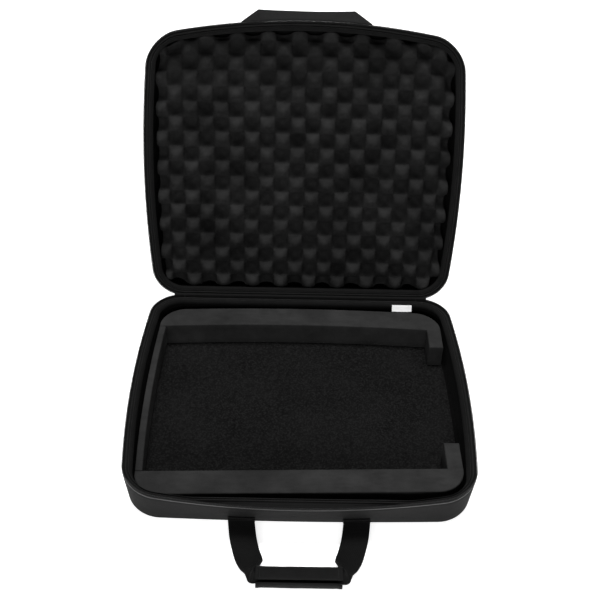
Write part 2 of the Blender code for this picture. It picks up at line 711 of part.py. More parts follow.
def make_label(looks):
    inner = HALF_DEPTH - BINDING_INSET - BINDING_DEPTH - FIT
    low = (LABEL_LEFT, inner - LABEL_THICKNESS, BASE_HEIGHT - LABEL_DROP - LABEL_HEIGHT)
    high = (LABEL_LEFT + LABEL_WIDTH, inner, BASE_HEIGHT - LABEL_DROP)
    box("woven_label", low, high, looks["label"])


def make_looks():
    return {
        "shell": material("shell_laminate", (0.028, 0.028, 0.029), 0.5),
        "lining": material("lining_fleece", (0.010, 0.010, 0.010), 0.95),
        "fleece": material("floor_fleece", (0.009, 0.009, 0.009), 0.97),
        "foam": material("spacer_foam", (0.030, 0.030, 0.031), 0.85),
        "crate": material("eggcrate_foam", (0.016, 0.016, 0.016), 0.92),
        "tape": material("zip_tape", (0.012, 0.012, 0.012), 0.85),
        "coil": material("zip_coil", (0.015, 0.015, 0.015), 0.45),
        "binding": material("edge_binding", (0.016, 0.016, 0.016), 0.8),
        "webbing": material("webbing", (0.010, 0.010, 0.010), 0.85),
        "wrap": material("grip_fabric", (0.018, 0.018, 0.018), 0.75),
        "loop": material("hook_and_loop", (0.012, 0.012, 0.012), 0.95),
        "metal": material("zip_metal", (0.03, 0.03, 0.032), 0.35, 0.9),
        "label": material("woven_label", (0.8, 0.8, 0.8), 0.8),
    }


def main():
    for obj in list(bpy.data.objects):
        bpy.data.objects.remove(obj)
    looks = make_looks()
    hinge = bpy.data.objects.new("lid_hinge_axis", None)
    bpy.context.scene.collection.objects.link(hinge)
    hinge.location = Vector((0, HINGE_Y, BASE_HEIGHT)) * METRES
    hinge.rotation_euler = (-math.radians(OPEN_ANGLE), 0, 0)
    # Lid pieces are modelled closed, in a frame whose Y starts at the case's middle.
    lid = bpy.data.objects.new("lid_frame", None)
    bpy.context.scene.collection.objects.link(lid)
    lid.parent = hinge
    lid.location = Vector((0, -HINGE_Y, 0)) * METRES

    make_half("base", looks)
    make_half("lid", looks, lid)
    make_hinge(looks, lid)
    make_base_foam(looks)
    make_eggcrate(looks, lid)
    make_label(looks)
    make_base_handle(looks)
    make_lid_handle(looks, lid)
    for side, name in ((-1, "left"), (1, "right")):
        make_tail(side, name, looks)
        bar_y = make_slider(side, name, looks)
        make_pull(side, name, bar_y, looks)


main()
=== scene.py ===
"""Looks of the carry case: each visible piece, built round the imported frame, in millimetres."""

import math

import bmesh
import bpy
import numpy as np
from mathutils import Matrix, Vector, noise


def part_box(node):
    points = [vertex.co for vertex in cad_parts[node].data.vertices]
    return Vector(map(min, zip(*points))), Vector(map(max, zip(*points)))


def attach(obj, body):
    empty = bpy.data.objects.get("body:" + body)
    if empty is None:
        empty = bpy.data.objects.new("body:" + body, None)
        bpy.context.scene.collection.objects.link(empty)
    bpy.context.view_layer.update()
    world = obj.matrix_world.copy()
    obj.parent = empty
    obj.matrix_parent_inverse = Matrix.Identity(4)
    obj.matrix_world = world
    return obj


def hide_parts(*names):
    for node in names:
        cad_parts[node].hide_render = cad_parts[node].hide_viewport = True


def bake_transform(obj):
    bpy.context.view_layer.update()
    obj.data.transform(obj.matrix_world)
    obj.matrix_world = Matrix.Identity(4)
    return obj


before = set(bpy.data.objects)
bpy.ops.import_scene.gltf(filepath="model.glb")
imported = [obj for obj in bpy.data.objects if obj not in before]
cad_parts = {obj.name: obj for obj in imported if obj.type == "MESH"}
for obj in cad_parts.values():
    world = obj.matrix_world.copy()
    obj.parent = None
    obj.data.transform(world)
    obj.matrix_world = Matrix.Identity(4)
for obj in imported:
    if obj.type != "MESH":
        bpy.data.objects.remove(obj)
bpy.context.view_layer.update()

MM = 0.001

# The case's outline, as in the CAD model
HALF_WIDTH = 237.0
HALF_DEPTH = 206.75
BASE_HEIGHT = 61.0
LID_HEIGHT = 58.0
HEIGHTS = {"base": BASE_HEIGHT, "lid": LID_HEIGHT}
OPEN_ANGLE = 107.0
CORNER_RADIUS = 44.0
SIDE_BOW = (6.0, 13.0)
FRONT_BOW = (3.0, 28.0)
SIDE_DRAFT = 5.0
EDGE_RADIUS = 9.0
WALL = 4.5
HINGE_Y = 204.45

SIDES = ((-1, "left"), (1, "right"))

ARC_STEPS = 14
SIDE_STEPS = 40
FRONT_STEPS = 60
BACK_STEPS = 56


# ---------------------------------------------------------------- small helpers


def drift_at(x, y, z):
    """Seeded noise, from about -1 to 1."""
    return noise.noise(Vector((x, y, z)))


def unit(rows):
    """Each row of numbers as a unit vector."""
    return rows / np.linalg.norm(rows, axis=1)[:, None]


def lerp(a, b, t):
    return a + (b - a) * t


def smooth_step(t):
    t = np.clip(t, 0.0, 1.0)
    return t * t * (3 - 2 * t)


def rotation_open():
    """Carries points from the closed lid's place to where it is in the open case."""
    pivot = Matrix.Translation((0, HINGE_Y, BASE_HEIGHT))
    turn = Matrix.Rotation(-math.radians(OPEN_ANGLE), 4, "X")
    return pivot @ turn @ Matrix.Translation((0, -HINGE_Y, -BASE_HEIGHT))


OPEN = np.array(rotation_open())


def opened(points):
    """Points of the closed lid, with z from the base's underside, in the open case."""
    p = np.asarray(points, float)
    return p @ OPEN[:3, :3].T + OPEN[:3, 3]


def new_object(name, verts, faces, look, body, uv=None, replaces=None, sharp=None):
    """A smooth mesh object from points in millimetres, riding on a body. Look is a key of LOOKS, and
    sharp an angle in degrees."""
    mesh = bpy.data.meshes.new(name)
    mesh.from_pydata((np.asarray(verts, float) * MM).tolist(), [], [list(map(int, f)) for f in faces])
    mesh.validate()
    if uv is not None:
        layer = mesh.uv_layers.new(name="UVMap")
        loop_verts = np.zeros(len(mesh.loops), np.int32)
        mesh.loops.foreach_get("vertex_index", loop_verts)
        layer.data.foreach_set("uv", np.asarray(uv, float)[loop_verts].ravel())
    mesh.shade_smooth()
    if sharp:
        mesh.set_sharp_from_angle(angle=math.radians(sharp))
    obj = bpy.data.objects.new(name, mesh)
    bpy.context.scene.collection.objects.link(obj)
    mesh.materials.append(LOOKS[look])
    if body:
        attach(obj, body)
    if replaces:
        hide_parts(replaces)
    return obj


def outward(obj):
    shape = bmesh.new()
    shape.from_mesh(obj.data)
    bmesh.ops.recalc_face_normals(shape, faces=shape.faces)
    shape.to_mesh(obj.data)
    shape.free()
    return obj


def grid_faces(rows, columns, wrap_rows, wrap_columns):
    faces = []
    for k in range(rows if wrap_rows else rows - 1):
        low, high = k * columns, (k + 1) % rows * columns
        for i in range(columns if wrap_columns else columns - 1):
            j = (i + 1) % columns
            faces.append((low + i, low + j, high + j, high + i))
    return faces


def stack_faces(rows, columns):
    """Faces of rings of points, one after the other, with both ends filled."""
    count = rows * columns
    ends = [tuple(range(columns)), tuple(range(count - 1, count - columns - 1, -1))]
    return grid_faces(rows, columns, False, True) + ends


def swept_faces(rows, columns, whole):
    """Faces of a closed profile swept along a line, which is filled at its ends unless it is whole."""
    faces = grid_faces(rows, columns, True, whole)
    if not whole:
        faces.append(tuple(k * columns for k in range(rows)))
        faces.append(tuple(k * columns + columns - 1 for k in reversed(range(rows))))
    return faces


def border_of(rows, columns):
    """The points round the border of a grid."""
    loop = list(range(columns))
    loop += [j * columns + columns - 1 for j in range(1, rows)]
    loop += [(rows - 1) * columns + i for i in range(columns - 2, -1, -1)]
    return loop + [j * columns for j in range(rows - 2, 0, -1)]


def sheet_faces(rows, columns):
    """Faces of two grids of points, one side and then the other, joined round their border."""
    count = rows * columns
    cells = grid_faces(rows, columns, False, False)
    faces = cells + [tuple(i + count for i in reversed(face)) for face in cells]
    border = border_of(rows, columns)
    for a, b in zip(border, border[1:] + border[:1]):
        faces.append((a, a + count, b + count, b))
    return faces


def flat_outline(a, b, r):
    """A rounded rectangle, clockwise from the right end of the hinge wall."""
    out = []

    def arc(cx, cy, start):
        for i in range(ARC_STEPS + 1):
            angle = math.radians(start - 90 * i / ARC_STEPS)
            out.append((cx + r * math.cos(angle), cy + r * math.sin(angle)))

    def line(end, steps):
        start = out[-1]
        for i in range(1, steps):
            out.append((lerp(start[0], end[0], i / steps), lerp(start[1], end[1], i / steps)))

    arc(a - r, b - r, 90)
    line((a, r - b), SIDE_STEPS)
    arc(a - r, r - b, 0)
    line((r - a, -b), FRONT_STEPS)
    arc(r - a, r - b, -90)
    line((-a, b - r), SIDE_STEPS)
    arc(r - a, b - r, 180)
    line((a - r, b), BACK_STEPS)
    return np.array(out)


LOOP = len(flat_outline(100, 100, 10))
OPEN_LOOP = LOOP - BACK_STEPS + 1  # points that aren't on the hinge wall, with both its ends


def outline(half, height, inset):
    """The outline at a height above the half's outer face, moved in by inset. z is as in the closed case."""
    t = height / HEIGHTS[half]
    a = HALF_WIDTH - SIDE_DRAFT * (1 - t) - inset
    b = HALF_DEPTH - inset
    flat = flat_outline(a, b, max(CORNER_RADIUS - inset, 3.0))
    u, v = flat[:, 0], flat[:, 1]
    x = u * (1 + lerp(*SIDE_BOW, t) / a * (1 - (v / b) ** 2))
    y = np.where(v < 0, v * (1 + lerp(*FRONT_BOW, t) / b * (1 - (u / a) ** 2)), v)
    z = height if half == "base" else BASE_HEIGHT + LID_HEIGHT - height
    return np.column_stack([x, y, np.full(LOOP, float(z))])


def outline_row(half, height, inset):
    """The outline, where the inset may differ from point to point."""
    if np.ndim(inset) == 0:
        return outline(half, height, inset)
    edge, inner = outline(half, height, 0.0), outline(half, height, 20.0)
    return edge + (inner - edge) * (np.asarray(inset) / 20.0)[:, None]


def place(half, points):
    return points if half == "base" else opened(points)


def arc_lengths(points, closed):
    steps = np.linalg.norm(np.diff(np.vstack([points, points[:1]]) if closed else points, axis=0), axis=1)
    return np.concatenate([[0], np.cumsum(steps)])[: len(points)]


def ring(name, half, profile, look, count=LOOP, change=None, replaces=None, sharp=None):
    """Sweeps a closed profile of (height, inset) along the outline, or along its first points by count.
    The UV map is in millimetres: along the outline, and round the profile."""
    whole = count == LOOP
    points = np.array([outline_row(half, h, inset)[:count] for h, inset in profile])
    if change is not None:
        points = change(points)
    along = arc_lengths(points[0], whole)
    around = arc_lengths(points[:, 0], True)
    uv = np.array([[(s, v) for s in along] for v in around]).reshape(-1, 2)
    faces = swept_faces(len(profile), count, whole)
    verts = place(half, points.reshape(-1, 3))
    outward(new_object(name, verts, faces, look, half, uv, replaces, sharp))


def arc_profile(cx, cy, r, start, end, steps):
    """Points of an arc in (height, inset); 0 degrees points up, 90 inwards."""
    angles = [math.radians(lerp(start, end, i / steps)) for i in range(steps + 1)]
    return [(cx + r * math.cos(a), cy + r * math.sin(a)) for a in angles]


def tube(path, radius, sides, up=(0, 0, 1)):
    """Points and faces of a tube along a path."""
    path = np.asarray(path, float)
    tangent = unit(np.gradient(path, axis=0))
    side = unit(np.cross(tangent, np.asarray(up, float)))
    normal = np.cross(side, tangent)
    angles = np.arange(sides) * 2 * math.pi / sides
    rings = (
        path[:, None]
        + radius * np.cos(angles)[None, :, None] * side[:, None]
        + radius * np.sin(angles)[None, :, None] * normal[:, None]
    )
    return rings.reshape(-1, 3), stack_faces(len(path), sides)


def join(parts):
    """One list of points and faces from several."""
    verts, faces, count = [], [], 0
    for v, f in parts:
        verts.append(np.asarray(v, float))
        faces += [tuple(i + count for i in face) for face in f]
        count += len(v)
    return np.vstack(verts), faces


STITCH_LENGTH = 2.6
STITCH_GAP = 1.4
THREAD_RADIUS = 0.28


def stitches(line, normal):
    """Threads along a line of points, standing just proud of the cloth."""
    line = np.asarray(line, float)
    s = np.concatenate([[0], np.cumsum(np.linalg.norm(np.diff(line, axis=0), axis=1))])
    lift = np.array([-0.5, 0.55, 0.8, 0.55, -0.5]) * THREAD_RADIUS
    parts = []
    start = STITCH_GAP
    while start + STITCH_LENGTH < s[-1]:
        at = start + np.array([0.0, 0.2, 0.5, 0.8, 1.0]) * STITCH_LENGTH
        p = np.column_stack([np.interp(at, s, line[:, k]) for k in range(3)])
        p = p + np.asarray(normal) * lift[:, None]
        parts.append(tube(p, THREAD_RADIUS, 5, (0.31, 0.52, 0.8)))
        start += STITCH_LENGTH + STITCH_GAP
    return join(parts)


# ---------------------------------------------------------------- materials


class Nodes:
    """Short way to write a node tree."""

    def __init__(self, name):
        self.material = bpy.data.materials.new(name)
        self.material.use_nodes = True
        self.tree = self.material.node_tree
        self.shader = self.tree.nodes["Principled BSDF"]

    def add(self, kind, inputs):
        node = self.tree.nodes.new("ShaderNode" + kind)
        for name, given in inputs.items():
            self.feed(node.inputs[name], given)
        return node

    def feed(self, socket, given):
        if isinstance(given, bpy.types.NodeSocket):
            self.tree.links.new(given, socket)
        else:
            socket.default_value = given

    def set(self, **values):
        for name, given in values.items():
            self.feed(self.shader.inputs[name.replace("_", " ")], given)

    def coords(self, kind="Object"):
        return self.add("TexCoord", {}).outputs[kind]

    def math(self, operation, a, b=0.0, c=0.0):
        node = self.add("Math", {0: a, 1: b, 2: c})
        node.operation = operation
        return node.outputs[0]

    def noise(self, scale, detail=2.0, rough=0.5, where=None, stretch=None):
        at = where or self.coords()
        if stretch:
            at = self.add("Mapping", {"Vector": at, "Scale": stretch}).outputs[0]
        found = self.add("TexNoise", {"Vector": at, "Scale": scale, "Detail": detail, "Roughness": rough})
        return found.outputs["Fac"]

    def cells(self, scale, where):
        return self.add("TexVoronoi", {"Vector": where, "Scale": scale}).outputs["Distance"]

    def ramp(self, value, low, high, start, end):
        """A grey between low and high as the value runs from start to end."""
        node = self.add("ValToRGB", {0: value})
        node.color_ramp.elements[0].position = start
        node.color_ramp.elements[1].position = end
        node.color_ramp.elements[0].color = grey(low)
        node.color_ramp.elements[1].color = grey(high)
        return node.outputs[0]

    def span(self, value, low, high, start, end):
        """A number between low and high as the value runs from start to end."""
        return self.add("MapRange", {0: value, 1: start, 2: end, 3: low, 4: high}).outputs[0]

    def bump(self, height, distance, strength=1.0, after=None):
        node = self.add("Bump", {"Height": height, "Distance": distance, "Strength": strength})
        if after is not None:
            self.feed(node.inputs["Normal"], after)
        return node.outputs[0]

    def waves(self, axis, pitch, where):
        """A sine from 0 to 1 along one axis of a vector, with its pitch in the vector's units."""
        part = self.add("SeparateXYZ", {0: where}).outputs[axis]
        turned = self.math("MULTIPLY", part, 2 * math.pi / pitch)
        return self.math("MULTIPLY_ADD", self.math("SINE", turned), 0.5, 0.5)

    def weave(self, where, pitch_u, pitch_v):
        """Plain weave: warp and weft standing up in turn."""
        u = self.waves(0, pitch_u, where)
        v = self.waves(1, pitch_v, where)
        half_u = self.waves(0, pitch_u * 2, where)
        half_v = self.waves(1, pitch_v * 2, where)
        even = self.math("GREATER_THAN", half_u, 0.5)
        odd = self.math("GREATER_THAN", half_v, 0.5)
        over = self.math("ABSOLUTE", self.math("SUBTRACT", even, odd))
        warp = self.math("MULTIPLY", u, over)
        weft = self.math("MULTIPLY", v, self.math("SUBTRACT", 1.0, over))
        return self.math("ADD", warp, weft)


def grey(value):
    return (value, value, value, 1)


def shell_laminate():
    """Satin cloth-faced laminate, moulded, with a faint weave and soft ripples."""
    n = Nodes("shell_laminate")
    where = n.coords()
    wide = n.noise(9.0, 3.0, 0.55, where)
    fine = n.noise(900.0, 2.0, 0.6, where)
    slanted = n.add("Mapping", {"Vector": where, "Rotation": (0.5, 0.4, 0.78)}).outputs[0]
    weave = n.weave(slanted, 0.0011, 0.0011)
    shade = n.math("MULTIPLY_ADD", fine, 0.5, n.math("MULTIPLY", wide, 0.5))
    n.set(Base_Color=n.ramp(shade, 0.0095, 0.017, 0.35, 0.65))
    n.set(Roughness=n.span(wide, 0.68, 0.8, 0.3, 0.7), Specular_IOR_Level=0.045)
    ripple = n.bump(n.noise(18.0, 3.0, 0.55, where), 0.0024)
    n.set(Normal=n.bump(n.math("ADD", weave, n.math("MULTIPLY", fine, 0.6)), 0.00005, 1.0, ripple))
    return n.material


def cloth(name, dark, light, pitch, depth, roughness=0.85, specular=0.12, uv=True, sheen=0.5):
    """Woven cloth. Pitches are in the UV map's millimetres, or in metres without one."""
    n = Nodes(name)
    where = n.coords("UV") if uv else n.coords()
    unit = 1.0 if uv else MM
    weave = n.weave(where, pitch[0] * unit, pitch[1] * unit)
    soft = n.noise(60.0, 3.0, 0.6)
    fibre = n.noise(2500.0, 2.0, 0.7)
    shade = n.math("MULTIPLY_ADD", weave, 0.55, n.math("MULTIPLY", soft, 0.45))
    n.set(Base_Color=n.ramp(shade, dark, light, 0.2, 0.8), Roughness=roughness)
    n.set(Specular_IOR_Level=specular, Sheen_Weight=sheen, Sheen_Roughness=0.5, Sheen_Tint=grey(0.03))
    n.set(Normal=n.bump(n.math("MULTIPLY_ADD", fibre, 0.35, weave), depth * MM))
    return n.material


def fleece(name, dark, light, nap):
    """Short nap, with flecks that catch the light."""
    n = Nodes(name)
    where = n.coords()
    clump = n.noise(140.0, 4.0, 0.65, where)
    hair = n.noise(1500.0, 3.0, 0.75, where)
    patch = n.noise(14.0, 2.0, 0.5, where)
    fleck = n.span(n.noise(420.0, 2.0, 0.6, where), 0.0, 1.0, 0.5, 0.66)
    shade = n.math("MULTIPLY_ADD", patch, 0.3, n.math("MULTIPLY", fleck, 0.6))
    shade = n.math("MULTIPLY_ADD", clump, 0.5, shade)
    n.set(Base_Color=n.ramp(shade, dark, light, 0.3, 0.75))
    n.set(Roughness=0.97, Specular_IOR_Level=0.03)
    n.set(Sheen_Weight=0.35, Sheen_Roughness=0.6, Sheen_Tint=grey(0.015))
    deep = n.bump(clump, nap * MM)
    n.set(Normal=n.bump(hair, nap * 0.4 * MM, 1.0, deep))
    return n.material


def foam(name, dark, light, cell, depth, roughness=0.85):
    """Cut foam: small open cells with a few larger pores."""
    n = Nodes(name)
    where = n.coords()
    cells = n.cells(1000.0 / cell, where)
    pores = n.cells(1000.0 / (cell * 3.1), where)
    patch = n.noise(22.0, 3.0, 0.6, where)
    fine = n.noise(1400.0, 2.0, 0.6, where)
    streaks = n.noise(45.0, 5.0, 0.7, where, (1.0, 3.0, 1.0))
    scuff = n.math("MULTIPLY", streaks, n.noise(12.0, 1.0, 0.5, where))
    shade = n.math("MULTIPLY_ADD", fine, 0.25, n.math("MULTIPLY", scuff, 0.55))
    shade = n.math("MULTIPLY_ADD", patch, 0.5, shade)
    n.set(Base_Color=n.ramp(shade, dark, light, 0.36, 0.66))
    n.set(Roughness=roughness, Specular_IOR_Level=0.12)
    pit = n.math("MULTIPLY_ADD", pores, 0.6, cells)
    n.set(Normal=n.bump(pit, depth * MM, 0.7, n.bump(patch, 0.0006)))
    return n.material


def enamel(name, dark, light, roughness):
    """Black enamelled metal, worn in random patches."""
    n = Nodes(name)
    where = n.coords()
    worn = n.noise(350.0, 4.0, 0.7, where)
    n.set(Base_Color=n.ramp(worn, dark, light, 0.4, 0.75), Metallic=0.75)
    n.set(Roughness=n.span(worn, roughness, roughness + 0.18, 0.35, 0.7))
    n.set(Normal=n.bump(worn, 0.00004))
    return n.material


def nylon(name, dark, light):
    """Moulded monofilament, a little shiny."""
    n = Nodes(name)
    where = n.coords()
    tone = n.noise(420.0, 3.0, 0.6, where)
    n.set(Base_Color=n.ramp(tone, dark, light, 0.3, 0.7))
    n.set(Roughness=n.span(tone, 0.32, 0.5, 0.3, 0.7), Specular_IOR_Level=0.25)
    n.set(Normal=n.bump(n.noise(3000.0, 1.0, 0.5, where), 0.00002))
    return n.material


def white_label():
    """Blank woven label, very slightly soiled."""
    n = Nodes("woven_label")
    uv = n.coords("UV")
    weave = n.weave(uv, 0.45, 0.45)
    soil = n.noise(180.0, 3.0, 0.6)
    shade = n.math("MULTIPLY_ADD", weave, 0.3, n.math("MULTIPLY", soil, 0.7))
    n.set(Base_Color=n.ramp(shade, 0.88, 0.95, 0.2, 0.8))
    n.set(Roughness=0.75, Normal=n.bump(weave, 0.00008))
    return n.material


LOOKS = {
    "shell": shell_laminate(),
    "lining": fleece("lining_fleece", 0.0015, 0.0035, 0.5),
    "floor": fleece("floor_fleece", 0.003, 0.0105, 0.8),
    "foam": foam("spacer_foam", 0.011, 0.026, 1.1, 0.35),
    "crate": foam("eggcrate_foam", 0.0045, 0.0175, 1.5, 0.5, 0.9),
    "tape": cloth("zip_tape", 0.002, 0.005, (0.9, 1.3), 0.25, 0.7),
    "coil": nylon("zip_coil", 0.006, 0.012),
    "binding": cloth("edge_binding", 0.005, 0.012, (1.3, 0.8), 0.22, 0.75, 0.06, sheen=0.3),
    "roll": cloth("flange_cloth", 0.0035, 0.008, (1.3, 0.8), 0.22, 0.8, 0.05, sheen=0.25),
    # The bead cloth is painted far lighter than the other cloths. This is a painted highlight for the bright
    # line along the rim. Its shine from the specular setting is real.
    "bead": cloth("bead_cloth_painted_highlight", 0.035, 0.065, (1.0, 0.8), 0.12, 0.42, 0.35),
    "webbing": cloth("webbing", 0.003, 0.0085, (2.0, 1.5), 0.4, 0.72, 0.05, sheen=0.25),
    "wrap": cloth("grip_fabric", 0.0025, 0.009, (1.0, 1.0), 0.3, 0.65, 0.1, sheen=0.4),
    "loop": fleece("hook_and_loop", 0.004, 0.009, 0.6),
    "metal": enamel("zip_metal", 0.015, 0.05, 0.28),
    "thread": cloth("thread", 0.008, 0.018, (0.4, 0.4), 0.1, 0.6, 0.2, uv=False),
    "label": white_label(),
}


# ---------------------------------------------------------------- shells, linings and rims


def make_shell(half):
    """The moulded wall and outer face, and the rolled bead at its edge, whose light cloth is a painted
    highlight.
    """
    rim = HEIGHTS[half]
    top = rim - 8.0
    out = [(0.0, 70.0), (0.0, EDGE_RADIUS + 6)]
    for i in range(9):
        angle = math.radians(90 * i / 8)
        out.append((EDGE_RADIUS * (1 - math.cos(angle)), EDGE_RADIUS * (1 - math.sin(angle))))
    out += [(lerp(EDGE_RADIUS, top - 1, i / 8), 0.0) for i in range(1, 9)]
    out += [(top - 0.2, 0.4), (top, 1.2), (top, WALL - 0.5), (top - 0.5, WALL)]
    out += [(lerp(top - 1, WALL + 6, i / 4), WALL) for i in range(5)]
    out += [(WALL + 2, WALL + 1.8), (WALL, WALL + 6), (WALL, 70.0)]
    rows = np.array([outline(half, h, inset) for h, inset in out])
    verts = place(half, rows.reshape(-1, 3))
    faces = stack_faces(len(out), LOOP)
    name = half + "_shell"
    outward(new_object(name + "_skin", verts, faces, "shell", half, None, name, 40))
    bead = arc_profile(top + 0.3, 1.3, 1.35, 0, 324, 9)
    # The bead's light cloth is a painted highlight along the rim's edge.
    ring(half + "_edge_bead", half, bead, "bead")


def wavy(half, amount, scale, seed):
    """Gentle unevenness for a sewn band: moves its points up and down along the outline."""
    step = amount if half == "base" else -amount

    def change(points):
        for i in range(points.shape[1]):
            x, y = points[0, i, 0], points[0, i, 1]
            points[:, i, 2] += step * drift_at(x * scale, y * scale, seed)
        return points

    return change


def flange_insets(half):
    """Where the padded flange starts and ends. Along the base's front it is pulled nearly straight."""
    flat = flat_outline(HALF_WIDTH, HALF_DEPTH, CORNER_RADIUS)
    front = smooth_step((-flat[:, 1] - 160.0) / 46.0) if half == "base" else np.zeros(LOOP)
    bulge = FRONT_BOW[1] * (1 - (flat[:, 0] / HALF_WIDTH) ** 2)
    outer = np.maximum(3.3, (bulge - 14.75) * front)
    inner = lerp(13.2, np.maximum(9.2, bulge - 6.75), front)
    return outer, inner


COIL_PITCH = 2.0


def make_zip(half, outer):
    """The tape, from the wall to under the flange, and the spiral coil on its edge."""
    rim = HEIGHTS[half]
    sole = outer + 0.8
    tape = [(rim - 7.9, 1.7), (rim - 5, 1.85), (rim - 2.5, 1.95)]
    tape += [(rim - 0.9, 1.9), (rim - 0.9, 2.5), (rim - 2.5, 2.6)]
    tape += [(rim - 5.4, 2.8), (rim - 6.3, lerp(3.2, sole, 0.1)), (rim - 6.6, lerp(3.2, sole, 0.4))]
    tape += [(rim - 6.0, lerp(3.2, sole, 0.52)), (rim - 6.6, lerp(3.2, sole, 0.64))]
    tape += [(rim - 6.4, sole), (rim - 7.9, sole)]
    ring(half + "_tape", half, tape, "tape", OPEN_LOOP, None, half + "_zip_tape", 60)
    path = outline(half, rim - 2.0, 1.15)[2 : OPEN_LOOP - 2]
    lengths = arc_lengths(path, False)
    turns = int(lengths[-1] / COIL_PITCH)
    at = np.linspace(0, lengths[-1], turns * 9)
    line = np.column_stack([np.interp(at, lengths, path[:, k]) for k in range(3)])
    ahead = unit(np.gradient(line, axis=0))
    side = np.cross(ahead, (0, 0, 1))
    angle = at / lengths[-1] * turns * 2 * math.pi
    rise = 0.72 * np.sin(angle)[:, None] * np.array((0, 0, 1.0))
    line = line + 0.62 * np.cos(angle)[:, None] * side + rise
    verts, faces = tube(line, 0.42, 5)
    verts = place(half, verts)
    new_object(half + "_coil", verts, faces, "coil", half, None, half + "_zip_coil")


def make_rim(half):
    """The bound seam and padded flange round the opening, with their two rows of stitches."""
    rim = HEIGHTS[half]
    outer, inner = flange_insets(half)
    make_zip(half, outer)
    top = rim - 5.0
    change = wavy(half, 0.4, 0.035, 3.0)
    seam = outer + 3.5
    trim = [(rim - 7.7, outer), (top - 0.8, outer + 0.1), (top, outer + 0.7), (top + 0.2, outer + 1.9)]
    trim += [(top - 0.2, seam - 0.4), (top - 1.0, seam), (rim - 9.0, seam), (rim - 9.0, outer + 1.2)]
    ring(half + "_binding", half, trim, "binding", change=change, sharp=50)
    roll = [(rim - 9.0, seam + 0.1), (top - 1.2, seam + 0.2), (top - 0.4, seam + 0.9)]
    roll += [(top - 0.2, lerp(seam, inner, 0.4)), (top - 0.9, lerp(seam, inner, 0.68))]
    roll += [(top - 2.3, inner - 0.8), (top - 4.2, inner)]
    roll += [(rim - 11.2, inner - 0.3), (rim - 12.7, inner - 1.6)]
    roll += [(rim - 12.9, lerp(seam, inner, 0.5)), (rim - 12.7, outer + 1.7), (rim - 9.2, outer + 1.5)]
    replaced = half + "_rim_binding"
    ring(half + "_flange", half, roll, "roll", LOOP, change, replaced, 60)
    for part, inset, height in (("trim", outer + 1.9, top + 0.2), ("flange", seam + 1.6, top - 0.3)):
        row = outline_row(half, height, inset)
        row = np.vstack([row, row[:1]])
        shifted = change(row[None].copy())[0]
        verts, faces = stitches(shifted, (0, 0, 1.0 if half == "base" else -1.0))
        new_object(f"{half}_{part}_stitches", place(half, verts), faces, "thread", half)


def make_lining(half):
    """Brushed cloth over thin padding: it swells under the binding and hugs the wall below."""
    rim = HEIGHTS[half]
    skin = [(rim - 12.6, 5.2), (rim - 13.0, 11.6), (rim - 15.0, 10.6), (rim - 18, 8.6)]
    skin += [(rim - 23, 7.2), (rim - 30, 6.4), (18.0, 6.2), (12.5, 6.6), (9.4, 8.2)]
    skin += [(8.6, 10.8), (7.4, 10.8), (9.0, 7.0), (12.0, 5.0), (rim - 20, 5.0)]

    def change(points):
        for i in range(points.shape[1]):
            x, y = points[0, i, 0], points[0, i, 1]
            for k in range(2, 8):
                z = points[k, i, 2]
                push = 0.35 * drift_at(x * 0.06, y * 0.06, z * 0.08)
                reach = math.hypot(x, y)
                points[k, i, 0] -= push * x / reach
                points[k, i, 1] -= push * y / reach
        return points

    name = half + "_lining"
    ring(name + "_cloth", half, skin, "lining", LOOP, change, name)


GUSSET_REACH = 206.0
GUSSET_THICK = 0.8


def make_hinge():
    """The cloth gusset between the halves, shaped to the open lid. It follows their corners a little way."""
    straight = HALF_WIDTH - CORNER_RADIUS
    count = 80
    xs = np.linspace(-GUSSET_REACH, GUSSET_REACH, count)
    profile = [(-7.9, 0.0), (-5.0, -0.15), (-2.5, -0.2), (-1.0, -0.1)]
    base_leaf = [(HINGE_Y + dy, BASE_HEIGHT + dz) for dz, dy in profile]
    lid_leaf = opened([(0, HINGE_Y + dy, BASE_HEIGHT - dz) for dz, dy in reversed(profile)])[:, 1:]
    line = np.array([*base_leaf, (HINGE_Y + 0.25, BASE_HEIGHT + 0.35), *map(tuple, lid_leaf)])
    tangent = unit(np.gradient(line, axis=0))
    normal = np.column_stack([-tangent[:, 1], tangent[:, 0]])
    section = np.vstack([line + GUSSET_THICK / 2 * normal, (line - GUSSET_THICK / 2 * normal)[::-1]])
    lean = opened([(0, 1.0, 0)])[0] - opened([(0, 0, 0)])[0]
    half = len(base_leaf)
    pulls = [(1.0, 0.0)] * half + [((1 + lean[1]) / 2, lean[2] / 2)] + [(lean[1], lean[2])] * half
    pulls = np.array(pulls + pulls[::-1])
    over = np.maximum(np.abs(xs) - straight, 0)
    drop = CORNER_RADIUS - np.sqrt(CORNER_RADIUS**2 - over**2)
    points = np.zeros((len(section), count, 3))
    points[:, :, 0] = xs
    points[:, :, 1:] = section[:, None] - drop[None, :, None] * pulls[:, None]
    around = arc_lengths(section, True)
    uv = np.array([[(x, v) for x in xs] for v in around]).reshape(-1, 2)
    faces = swept_faces(len(section), count, False)
    obj = outward(new_object("hinge_gusset", points.reshape(-1, 3), faces, "tape", None, uv))
    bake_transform(obj)
    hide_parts("hinge_gusset_lower", "hinge_gusset_upper")


# ---------------------------------------------------------------- foam


FLOOR_TOP = 8.0
FOAM_BOTTOM = 8.3
FOAM_TOP = 47.0
FOAM_BAR = 41.0
FOAM_LEFT = -224.0
FOAM_RIGHT = 225.0
FOAM_LEFT_BAR = 10.0
FOAM_HOOK_X = 203.0
FOAM_HOOK_END = 101.0
FOAM_CORNER = 38.0


def rear_edge(x, offset):
    middle, reach = (FOAM_LEFT + FOAM_RIGHT) / 2, (FOAM_RIGHT - FOAM_LEFT) / 2
    return 190.0 - offset - 8.0 * ((x - middle) / reach) ** 2


def front_edge(x, offset):
    middle, reach = (FOAM_LEFT + FOAM_RIGHT) / 2, (FOAM_RIGHT - FOAM_LEFT) / 2
    return -196.0 + offset + 7.0 * (x - middle) / reach


